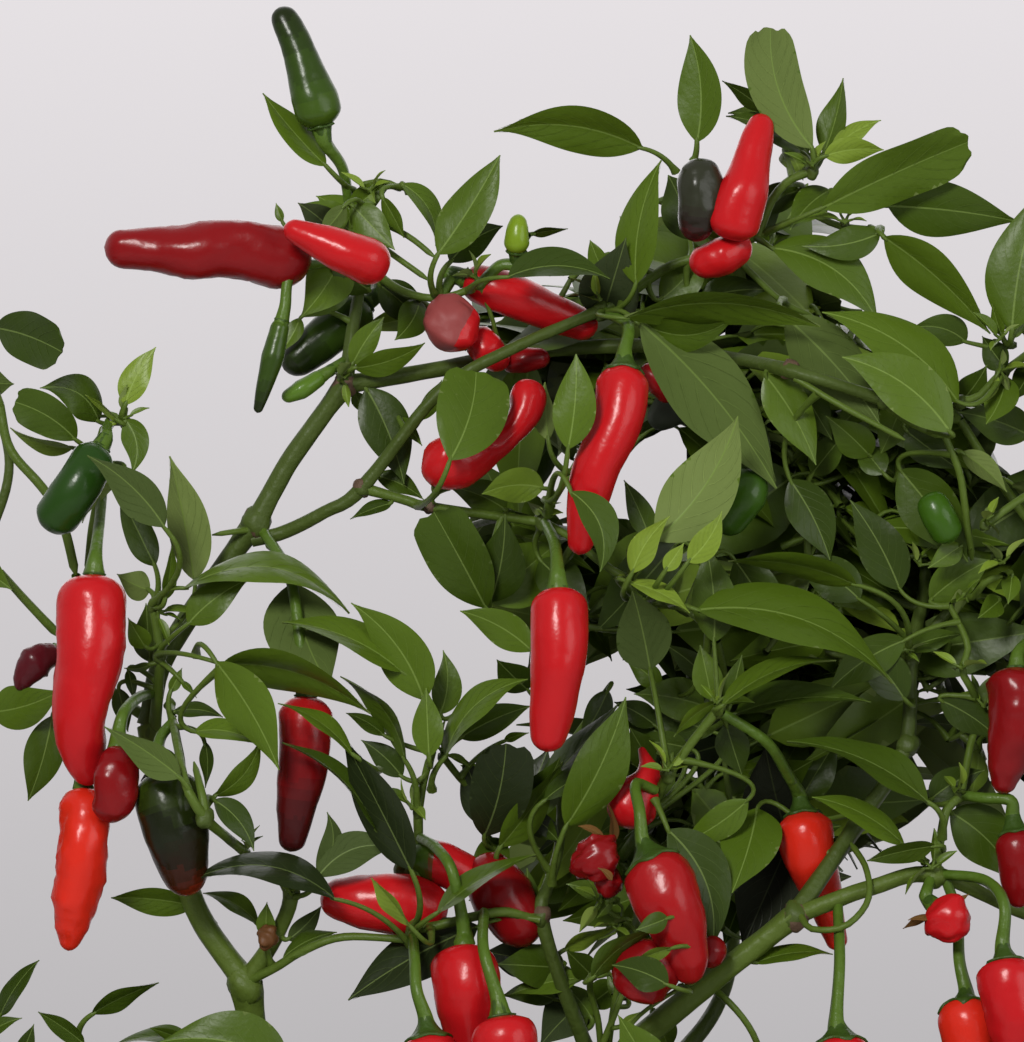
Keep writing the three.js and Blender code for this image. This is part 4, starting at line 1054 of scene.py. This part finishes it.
def fruit_skin(line, halves, sunk, dents, wrinkles, seed):
    """Rings of points on the fruit's skin."""
    tangent, side, up = frames_along(line)
    share = np.linspace(0, 1, len(line))
    crease_size = FINE_FOLD_SIZE if wrinkles > 0.19 else FOLD_SIZE
    skin = np.zeros((len(line), FRUIT_SIDES, 3))
    for i, point in enumerate(line):
        for k, angle in enumerate(turns(FRUIT_SIDES)):
            out = side[i] * math.cos(angle) + up[i] * math.sin(angle)
            probe = point + out * halves[i]
            lobe = LOBE * math.cos(3 * angle + seed) * (1 - 0.5 * share[i])
            dent = dents * (1.5 * rough(probe, DENT_SIZE, seed) + 0.5 * rough(probe, DENT_SIZE / 2, seed + 4))
            crease = wrinkles * (abs(rough(probe, crease_size, seed + 9)) - 0.25) * 1.8
            skin[i, k] = point + tangent[i] * sunk[i] + out * halves[i] * (1 + lobe + dent + crease)
    return skin


def calyx(bundle, line, skin, halves, neck, reach, seed):
    """A green cap: it flares from the stalk, hugs the shoulder out to this share of it and ends in teeth."""
    index = np.arange(FRUIT_SIDES)
    outward = unit(line[0] - line[3])
    teeth = 0.5 + 0.5 * np.cos(TEETH * turns(FRUIT_SIDES) + seed)
    shoulder = halves[:SHOULDER_RINGS].max()
    widest = int(np.argmax(halves > 0.97 * shoulder)) + 1
    edge = reach * (0.80 + TEETH_SHARE * teeth)
    rows = np.interp(edge, halves[:widest] / shoulder, np.arange(widest))
    rows = np.maximum(rows, 1.0)
    radial = skin[4] - line[4]
    radial /= norm(radial, axis=1)[:, None]

    def on_skin(at, lift):
        low = np.floor(at).astype(int)
        part = (at - low)[:, None]
        spot = skin[low, index] * (1 - part) + skin[low + 1, index] * part
        return spot + radial * lift * 0.6 + outward * lift

    top = line[0] + outward * CAP_TOP + radial * neck * 0.86
    waist = line[0] + outward * CAP_WAIST + radial * neck * 1.10
    brim = on_skin(0.55 * rows, 0.0007)
    cap = [(1 - t) ** 2 * top + 2 * t * (1 - t) * waist + t**2 * brim for t in np.linspace(0, 1, 7)]
    cap += [on_skin(s * rows, 0.0006) for s in (0.7, 0.85, 1.0)]
    cap.append(on_skin(rows, 0.0001))
    bundle.grid(np.array(cap), 0, closed=True, flip=True)


def band_finish(tone, skin, seed):
    """Material of each quad of a fruit's skin."""
    rings, sides = skin.shape[0] - 1, skin.shape[1]
    if tone == "crushed":
        centre = skin.mean(axis=(0, 1))
        size = norm(skin - centre, axis=2).max()
        turned_to = [
            [np.dot(spot - centre, BRUISE_LOOK) / size + 0.3 * rough(spot, 0.005, seed) for spot in ring]
            for ring in skin[:-1]
        ]
        bruised = np.array(turned_to) > BRUISE_LIMIT
        return np.where(bruised, FRUIT_NAMES.index("bruise"), FRUIT_NAMES.index("red"))
    if tone not in TURNING_TONES:
        return np.full((rings, 1), FRUIT_NAMES.index(tone))
    ramp, steps, start, end, _ = TURNING_TONES[tone]
    luck = dice(int(seed * 10))
    share = np.linspace(0, 1, rings)[:, None] + luck.normal(0, 0.006, (rings, sides))
    share = share + 0.10 * np.array([[rough(spot, 0.008, seed) for spot in ring] for ring in skin[:-1]])
    step = np.clip((share - start) / (end - start) * steps, 0, steps - 1).astype(int)
    return step + FRUIT_NAMES.index(ramp + "_0")


fruits = Bundle()
fruit_stalks = Bundle()


def add_fruit(places, table, look, stalk_places, seed, rings):
    """A fruit with its cap and stalk. look holds tone, dents, wrinkles and share under the cap."""
    tone, dents, wrinkles, reach = look
    length = length_of(places)
    share = 0.5 - 0.5 * np.cos(np.linspace(0, math.pi, rings))
    share = 0.6 * share + 0.4 * np.linspace(0, 1, rings)
    line = smooth_line(places, LINE_POINTS)[np.round(share * (LINE_POINTS - 1)).astype(int)]
    halves, sunk = fruit_profile(table, share, length)
    skin = fruit_skin(line, halves, sunk, dents, wrinkles, seed)
    fruits.grid(skin, band_finish(tone, skin, seed), closed=True, flip=True)
    if not stalk_places:
        return
    radius = min(FRUIT_STALK, 0.45 * halves.max() + 0.0002)
    outward = unit(line[0] - line[4])
    ends = [line[0] + outward * 0.0028, line[0] - outward * 0.001]
    path = smooth_line([*stalk_places[:-1], *ends], STALK_RINGS)
    left = norm(np.diff(path, axis=0), axis=1)[::-1].cumsum()[::-1]
    flare = np.exp(-np.append(left, 0) / STALK_FLARE_REACH) * min(STALK_FLARE, 0.22 * halves.max())
    radii = radius * (0.80 + 0.12 * np.linspace(0, 1, STALK_RINGS)) + flare
    if reach:
        calyx(fruit_stalks, line, skin, halves, radii[-4], reach, seed)
    path = np.vstack([path, line[0] - outward * min(0.0035, 0.3 * length)])
    radii = np.append(radii, radii[-1] * 0.8)
    tube(fruit_stalks, path, radii, 10, finish=1, ribs=5, rib_depth=0.06)


for number, (axis, widths, [look], *foot) in enumerate(read_rows(FRUITS, ";")):
    axis = [seen(*place) for place in axis]
    foot = [seen(*place) for place in foot[0]] if foot else []
    add_fruit(axis, widths, look, foot, number * 1.7, WRINKLED_RINGS if look[2] > 0.1 else SMOOTH_RINGS)


# The rest of the crown. Rooms and sky gaps behind the front layer, as outlines in pixels.
ROOMS = read_fields("""
640 196, 690 150, 745 150, 800 160, 855 205, 878 240, 842 262, 885 325, 950 390, 975 392, 990 330, 1005 305,
1030 200, 1045 200, 1045 880, 1020 880, 962 826, 935 862, 900 862, 850 880, 790 925, 738 945, 690 985,
610 1045, 560 990, 556 900, 505 850, 478 825, 452 765, 500 690, 500 660, 530 645, 456 606, 420 520, 442 498,
432 420, 430 300, 520 300, 560 260 |
300 205, 395 200, 430 235, 425 330, 380 360, 330 345, 295 300 |
125 500, 205 490, 210 565, 180 640, 135 640 |
45 395, 100 385, 110 460, 60 515 |
150 760, 195 770, 205 840, 180 850 |
285 600, 345 615, 345 680, 300 650 |
360 860, 520 850, 550 920, 480 930, 400 900
""")
HOLES = read_fields("""
622 492, 634 440, 664 432, 706 436, 664 495, 652 530, 606 530 |
540 490, 558 453, 564 455, 556 490, 568 495, 566 532, 552 520, 530 512 |
440 788, 470 800, 476 862, 444 862 |
594 688, 608 664, 622 664, 636 680, 612 703, 592 714 |
715 545, 745 535, 748 560, 728 565 |
842 482, 870 476, 866 500, 846 502 |
990 436, 1036 432, 1036 474, 1000 466 |
1012 398, 1036 398, 1036 428, 1014 426 |
690 325, 735 325, 735 345, 690 342 |
545 655, 575 640, 575 665, 550 680 |
575 735, 590 740, 565 800, 548 800 |
690 945, 740 950, 700 985 |
700 640, 712 645, 712 665, 702 662 |
638 728, 660 724, 660 734, 642 738 |
698 726, 712 726, 710 740, 700 740 |
680 750, 712 748, 712 780, 682 780 |
950 604, 978 612, 973 637, 954 626 |
914 614, 931 614, 931 625, 914 625 |
975 681, 993 679, 991 705, 977 705 |
925 693, 943 699, 941 710, 927 707 |
840 640, 870 636, 866 656, 842 656 |
905 760, 930 755, 930 785, 910 785
""")
FRUIT_ROOM = read_places("700 260, 1000 330, 1010 620, 700 600")


def inside(polygon, x, y):
    hit = False
    for (ax, ay), (bx, by) in zip(polygon, polygon[1:] + polygon[:1]):
        if (ay > y) != (by > y) and x < (bx - ax) * (y - ay) / (by - ay) + ax:
            hit = not hit
    return hit


# Where grown pieces may be: margin round the picture in pixels, how far behind the picture plane leaves,
# twigs and fruits start in millimetres, and in metres the room over the pot and the slack at the solids' box
FRAME_MARGIN = 8
FRONT_LIMIT, TWIG_LIMIT, FRUIT_DEPTH = 10, -16, 105
OVER_POT = 0.012
SLACK = 0.004
CROWN_CENTRE = np.array([0.020, 0.045, 0.41])


def clear(point, margin=0.0, front_limit=FRONT_LIMIT):
    """Whether a grown piece may be here: it leaves the sky gaps open and stays behind the front layer."""
    if np.any(point < np.array(CAD_LOW) - margin) or np.any(point > np.array(CAD_HIGH) + margin):
        return False
    if point[2] < POT_HEIGHT + OVER_POT:
        return False
    px, py, back = pixel(point)
    beyond = [abs(place - size / 2) - size / 2 for place, size in zip((px, py), PICTURE)]
    if max(beyond) >= FRAME_MARGIN:
        return True
    if back < front_limit:
        return False
    return any(inside(room, px, py) for room in ROOMS) and not any(inside(hole, px, py) for hole in HOLES)


MASS_NODES = sorted(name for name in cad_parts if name.startswith("leaves_"))
LITRES = 1000
TWIGS_PER_LITRE, TWIG_RANGE = 210, (8, 64)
LOW_CROWN, LOW_SHARE = 0.33, 0.6
POCKET_TWIGS = 22
LINKS = 26
LINK_TWIGS = 7
TRIES = 24

# How many points of the wood twigs can start from, and where leaves sit on short and long twigs
MASS_WOOD, POCKET_WOOD, LINK_WOOD = 40, 60, 20
SHORT_NODES = (0.45, 0.75, 1.0, 1.0, 1.0)
LONG_NODES = (0.3, 0.45, 0.6, 0.75, 0.9, 1.0, 1.0)

# In metres: length of the grown leaves and fruits, shortest gap that gets a twig, spread of a link's twigs
LEAF_LONG, LEAF_LONGER = 0.019, 0.037
FRUIT_LONG = (0.026, 0.046)
SHORTEST_TWIG = 0.006
LINK_SPREAD = 0.016

# Width of a grown leaf to its length, and where it is probed: share along it, share of its width to each side
GROWN_ASPECT = (0.36, 0.52)
LEAF_PROBES = ((0.25, 0.42), (0.5, 0.5), (0.75, 0.3))

# Grown twigs: distance of their points, how much they bend and sag, radii in millimetres at foot and end,
# the turn from leaf to leaf, and how many twigs there are for one fruit
TWIG_STEP, TWIG_BEND, TWIG_SAG = 0.004, 0.10, 0.06
GROWN_RADII, GROWN_SIDES = (1.15, 0.65), 7
LEAF_TURN = 2.4
TWIGS_PER_FRUIT = 6

# Grown fruits: their width in pixels at this length, and its share along the fruit
FRUIT_WIDE, NORMAL_LONG = (48, 62), 0.042
GROWN_PROFILE = [(0, 0.85), (0.12, 1), (0.55, 0.92), (0.85, 0.62), (1, 0.36)]
GROWN_TONES = ["red", "red", "bright", "dark", "leafy", "deep"]

# Pockets where the crown is dense as seen: left, top, right and lower limit in pixels
POCKETS = read_places("""
745 400 905 470, 740 590 900 660, 640 745 735 840, 820 500 900 560, 600 320 700 365, 560 560 640 640,
640 850 735 930
""")

# Odds of the tones of grown leaves, in the order of the tones, in the shade and in the light. The odds in the
# shade lean to the darker tones: painted shade, for the masses at the back and low down and for the links.
SHADE_ODDS = [0.00, 0.04, 0.01, 0.18, 0.25, 0.22, 0.14, 0.10, 0.04, 0.02, 0.00]
LIGHT_ODDS = [0.00, 0.01, 0.01, 0.10, 0.20, 0.24, 0.20, 0.14, 0.07, 0.03, 0.00]
grown_leaves = {tone: Bundle() for tone in TONES}
grown_twigs = Bundle()


def plan_leaf(at, out, luck):
    """Foot, base, tip, width, face and heading of a leaf on a twig, or None where it has no room."""
    long = LEAF_LONG + LEAF_LONGER * luck.random() ** 0.9
    heading = unit(out + np.array([0, 0, luck.uniform(-1.25, 0.45)]) + luck.normal(0, 0.22, 3))
    stem_out = unit(out + np.array([0, 0, 0.2]) + luck.normal(0, 0.25, 3))
    base = at + stem_out * (0.005 + 0.16 * long + luck.uniform(0, 0.004))
    tip = base + heading * long
    width = long * luck.uniform(*GROWN_ASPECT)
    outward = (at - CROWN_CENTRE) * [1, 1, 0.4]
    face = unit(np.array([0, 0, 0.55]) + unit(outward) + luck.normal(0, 0.38, 3))
    side = unit(np.cross(face, heading))
    probes = [base, tip]
    for share, half in LEAF_PROBES:
        spot = base + (tip - base) * share
        probes += [spot, spot + side * width * half, spot - side * width * half]
    if not all(clear(p, SLACK) for p in probes):
        return None
    return at, base, tip, width, face, heading


def grow_leaf(plan, luck, shade):
    at, base, tip, width, face, heading = plan
    # A leaf in the shade takes a darker tone: painted shade.
    tone = luck.choice(TONES, p=SHADE_ODDS if shade else LIGHT_ODDS)
    shape = draw_shape(luck, GROWN_SHAPE)
    leaf(grown_leaves[tone], base, tip, width, face, *GROWN_GRID, luck.random(), **shape)
    stalk(petioles, at, base, heading, GROWN_STALK)


def grow_twig(start, end, luck):
    """A slightly bent line from the wood to a place."""
    far = norm(end - start)
    middle = (start + end) / 2 + luck.normal(0, TWIG_BEND, 3) * far + np.array([0, 0, -TWIG_SAG * far])
    return smooth_line([start, middle, end], max(6, int(far / TWIG_STEP)))


def grow_fruit(at, luck, seed):
    """A hanging fruit on a bent stalk, outside the picture or deep behind the leaves."""
    px, py, back = pixel(at)
    in_picture = -30 < px < PICTURE[0] + 30 and py < PICTURE[1] + 10
    if in_picture and (back < FRUIT_DEPTH or not inside(FRUIT_ROOM, px, py)):
        return
    turn = luck.uniform(0, 2 * math.pi)
    out = np.array([math.cos(turn), math.sin(turn), 0.25])
    top = at + out * luck.uniform(0.008, 0.014) + np.array([0, 0, -luck.uniform(0.008, 0.016)])
    long = luck.uniform(*FRUIT_LONG)
    lean = luck.normal(0, 0.14, 3)
    middle = top + unit(np.array([0, 0, -1.0]) + lean) * long * 0.5
    places = [top, middle, top + np.array([0, 0, -long]) + lean * 0.01]
    if not all(clear(p, SLACK) and clear(p + out * 0.008, SLACK) for p in places):
        return
    wide = luck.uniform(*FRUIT_WIDE) * long / NORMAL_LONG
    table = [(share, wide * part) for share, part in GROWN_PROFILE]
    look = (luck.choice(GROWN_TONES), 0.05, 0.0, 0.6)
    add_fruit(places, table, look, [at, at + out * 0.007, top], seed, GROWN_RINGS)


def branch_out(wood, targets, centre, shade, luck, seed):
    """Twigs to the targets, nearest first, each from the wood or twig that is nearest by then."""
    for number, target in enumerate(sorted(targets, key=lambda t: norm(wood - t, axis=1).min())):
        gap = norm(wood - target, axis=1)
        if gap.min() < SHORTEST_TWIG:
            continue
        for start in np.argsort(gap)[:TRIES:3]:
            line = grow_twig(wood[start], target, luck)
            if all(clear(p, front_limit=TWIG_LIMIT) for p in line):
                break
        else:
            continue
        plans = []
        turn = luck.uniform(0, 2 * math.pi)
        for at_share in SHORT_NODES if len(line) < 12 else LONG_NODES:
            turn += LEAF_TURN + luck.normal(0, 0.3)
            at = line[int(at_share * (len(line) - 1))]
            outward = unit((at - centre) * [1, 1, 0.3])
            plans.append(plan_leaf(at, unit(0.55 * outward + [math.cos(turn), math.sin(turn), 0.1]), luck))
        plans = [plan for plan in plans if plan]
        if len(plans) < 2:
            continue
        tube(grown_twigs, line, MM * np.linspace(*GROWN_RADII, len(line)), GROWN_SIDES, bumps=0.08)
        for plan in plans:
            grow_leaf(plan, luck, shade)
        if number % TWIGS_PER_FRUIT == 3:
            grow_fruit(line[-2], luck, seed + number)
        wood = np.concatenate([wood, line[len(line) // 2 :]])


def grow_near(centre, count, targets, shade, luck, seed):
    """Branch out to those targets that are clear, from this many points of the wood that are nearest."""
    near = WOOD[np.argsort(norm(WOOD - centre, axis=1))[:count]]
    branch_out(near, [target for target in targets if clear(target)], centre, shade, luck, seed)


def grow_mass(node, number):
    """Twigs and leaves in the solid of one mass of leaves. Returns its centre."""
    low, high = (np.array(corner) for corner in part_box(node))
    centre, half = (low + high) / 2, (high - low) / 2
    luck = dice(MASS_SEED + number)
    litres = 8 * LITRES * half[0] * half[1] * half[2]
    sparse = LOW_SHARE if centre[2] < LOW_CROWN else 1.0
    targets = []
    for _ in range(int(np.clip(sparse * TWIGS_PER_LITRE * litres, *TWIG_RANGE))):
        direction = unit(luck.normal(0, 1, 3))
        reach = 0.82 + 0.30 * rough(direction, 0.7, number * 3.7)
        targets.append(centre + direction * half * reach * luck.uniform(0.25, 1.0) ** 0.5)
    # Masses at the back and low down are in the shade, and their leaves take darker tones: painted shade.
    shade = any(word in node for word in ("back", "low", "bottom"))
    grow_near(centre, MASS_WOOD, targets, shade, luck, number)
    return centre


def fill_pockets():
    """Shoots just behind the front layer where the crown is dense as seen."""
    luck = dice(POCKET_SEED)
    for number, (left, top, right, bottom) in enumerate(POCKETS):
        targets = []
        for _ in range(POCKET_TWIGS):
            targets.append(seen(luck.uniform(left, right), luck.uniform(top, bottom), luck.uniform(12, 40)))
        centre = seen((left + right) / 2, (top + bottom) / 2, 30)
        grow_near(centre, POCKET_WOOD, targets, False, luck, POCKET_FRUIT_SEED + number)


def link_masses(centres):
    """Twigs in the gaps between neighbouring masses behind the front layer and outside the picture."""
    luck = dice(LINK_SEED)
    for number in range(LINKS):
        a = centres[luck.integers(len(centres))]
        gaps = [norm(a - b) for b in centres]
        b = centres[int(np.argsort(gaps)[luck.integers(1, 4)])]
        middle = (a + b) / 2
        targets = [middle + luck.normal(0, LINK_SPREAD, 3) for _ in range(LINK_TWIGS)]
        # Links are in the shade, and their leaves take darker tones: painted shade.
        grow_near(middle, LINK_WOOD, targets, True, luck, LINK_FRUIT_SEED + number)


fill_pockets()
link_masses([grow_mass(node, number) for number, node in enumerate(MASS_NODES)])

for tone in TONES:
    front_leaves[tone].build("front_leaves_" + tone, LEAF_SLOTS[tone], "foliage")
    if grown_leaves[tone].count:
        nodes = MASS_NODES if tone == "d" else ()
        grown_leaves[tone].build("grown_leaves_" + tone, LEAF_SLOTS[tone], "foliage", nodes)
petioles.build("leaf_stalks", [young_bark], "green_bark")
twigs.build("twigs", [young_bark], "green_bark")
grown_twigs.build("grown_twigs", [green_bark], "green_bark")
fruits.build("fruits", [fruit_material(*facts) for facts in FRUIT_TONES.items()], "foliage")
fruit_stalks.build("fruit_stalks", [calyx_green, stalk_green], "green_bark")


# Pot and compost. The outline of the pot's wall is radius and height in metres.
POT_PROFILE = read_places("""
.0002 0, .040 0, .064 0, .0655 .0006, .0662 .002, .072 .035, .079 .078, .086 .12, .0868 .1345, .0872 .1362,
.0905 .1368, .0919 .1385, .093 .15, .0945 .164, .0949 .1675, .0942 .1692, .093 .17, .0885 .17, .0872 .1692,
.0862 .167, .083 .148, .08 .13
""")
POT_SIDES, BED_SIDES, BED_RINGS, FLOOR_SIDES = 120, 150, 44, 96
POT_WOBBLE = 0.0025
BED_RADIUS = 0.080
BED_EDGE = (0.0826, 0.0828)
BED_DEPTH = 0.02
LUMPS, GRAINS = (0.0014, 0.006), (0.0011, 0.0025)
CRUMBS = 420
CRUMB_SIZE = (0.0007, 0.0024)


def turned(profile, sides, wobble=0.0):
    """Rings of points round the axis, slightly out of round by the wobble."""
    places = np.zeros((len(profile), sides, 3))
    for i, (radius, height) in enumerate(profile):
        for k, angle in enumerate(turns(sides)):
            probe = np.array([math.cos(angle), math.sin(angle), height * 6])
            r = radius * (1 + wobble * rough(probe, 0.8, 3.0))
            places[i, k] = (r * math.cos(angle), r * math.sin(angle), height)
    return places


def make_pot():
    pot = Bundle()
    pot.grid(turned(POT_PROFILE, POT_SIDES, POT_WOBBLE), closed=True)
    pot.build("clay_pot", [clay], "clay", ["pot"])


def make_bed():
    """The uneven surface of the compost, turned down inside the pot, with crumbs on it."""
    radii = [*np.linspace(0.0002, BED_RADIUS, BED_RINGS), *BED_EDGE]
    bed = turned([(radius, SOIL_TOP) for radius in radii], BED_SIDES)
    for ring in bed[:-1]:
        for spot in ring:
            spot[2] += LUMPS[0] * rough(spot, LUMPS[1]) + GRAINS[0] * rough(spot, GRAINS[1], 5.0)
    bed[-1, :, 2] = SOIL_TOP - BED_DEPTH
    ground = Bundle()
    ground.grid(bed, closed=True, flip=True)
    luck = dice(CRUMB_SEED)
    for _ in range(CRUMBS):
        angle, far = luck.uniform(0, 2 * math.pi), BED_RADIUS * math.sqrt(luck.random())
        size = luck.uniform(*CRUMB_SIZE)
        middle = np.array([far * math.cos(angle), far * math.sin(angle), SOIL_TOP + size * 0.3])
        crumb = turned([(size * math.sin(t), -size * math.cos(t)) for t in np.linspace(0.01, 3.13, 6)], 7)
        ground.grid(crumb * luck.uniform(0.7, 1.3, (6, 7, 1)) + middle, closed=True)
    ground.build("compost_bed", [soil], "compost", ["compost"])


# Floor, light and camera
WALL_BELOW, WALL_ABOVE = (0.49, 0.475, 0.485, 1), (0.80, 0.765, 0.785, 1)
WALL_TURN = {"From Min": -0.14, "From Max": 0.14}
ROOM_DEPTH = {"From Min": -0.4, "From Max": 0.5, "To Min": 0.54, "To Max": 1.0}
FLOOR_RADIUS, FLOOR_HEIGHT, FLOOR_COLOUR = 2.3, -0.0004, (0.46, 0.45, 0.455)
SENSOR = 36

# Lights: name, place, aim, size, power and colour
LIGHTS = [
    ("key", (-0.30, -1.15, 0.95), (0.02, 0, 0.44), 0.30, 15.5, (1.0, 0.98, 0.95)),
    ("fill", (0.9, -0.9, 0.6), (0.02, 0, 0.42), 0.8, 5.5, (1, 1, 1)),
    ("back", (0.2, 1.7, 1.3), (0.02, 0, 0.42), 2.6, 15.0, (1, 1, 1)),
]


def make_floor():
    size = {"vertices": FLOOR_SIDES, "radius": FLOOR_RADIUS}
    bpy.ops.mesh.primitive_circle_add(fill_type="NGON", location=(0, 0, FLOOR_HEIGHT), **size)
    floor = bpy.context.object
    floor.name = "floor"
    floor.data.materials.append(new_material("floor_paint", FLOOR_COLOUR, 0.8)[0])


def make_light(name, place, aim, size, power, colour):
    lamp = bpy.data.lights.new(name, "AREA")
    lamp.shape, lamp.size, lamp.energy, lamp.color = "DISK", size, power, colour
    holder = bpy.data.objects.new(name, lamp)
    holder.location = place
    holder.rotation_euler = (Vector(aim) - Vector(place)).to_track_quat("-Z", "Y").to_euler()
    bpy.context.scene.collection.objects.link(holder)


def make_world():
    """A pale room, brighter above and towards the wall behind the plant than behind the viewer."""
    world = bpy.data.worlds.new("room")
    bpy.context.scene.world = world
    world.use_nodes = True
    tree = world.node_tree
    place = tree.nodes.new("ShaderNodeTexCoord").outputs["Generated"]
    split = add_node(tree, "SeparateXYZ", {}, {0: place})
    height = add_node(tree, "MapRange", WALL_TURN, {"Value": split.outputs[2]})
    mix = add_node(tree, "Mix", {6: WALL_BELOW, 7: WALL_ABOVE}, {0: height.outputs[0]})
    mix.data_type = "RGBA"
    depth = add_node(tree, "MapRange", ROOM_DEPTH, {"Value": split.outputs[1]})
    background = tree.nodes["Background"]
    tree.links.new(mix.outputs[2], background.inputs["Color"])
    tree.links.new(depth.outputs[0], background.inputs["Strength"])


def make_camera():
    data = bpy.data.cameras.new("camera")
    data.sensor_width = SENSOR
    data.lens = SENSOR * EYE_DISTANCE / (max(PICTURE) * PIXEL)
    data.dof.use_dof = False
    data.clip_start, data.clip_end = 0.01, 100
    camera = bpy.data.objects.new("camera", data)
    camera.location = EYE
    camera.rotation_euler = (math.pi / 2, 0, 0)
    bpy.context.scene.collection.objects.link(camera)
    bpy.context.scene.camera = camera


make_pot()
make_bed()
make_floor()
make_world()
for light in LIGHTS:
    make_light(*light)
make_camera()
bpy.context.scene.view_settings.view_transform = "Standard"
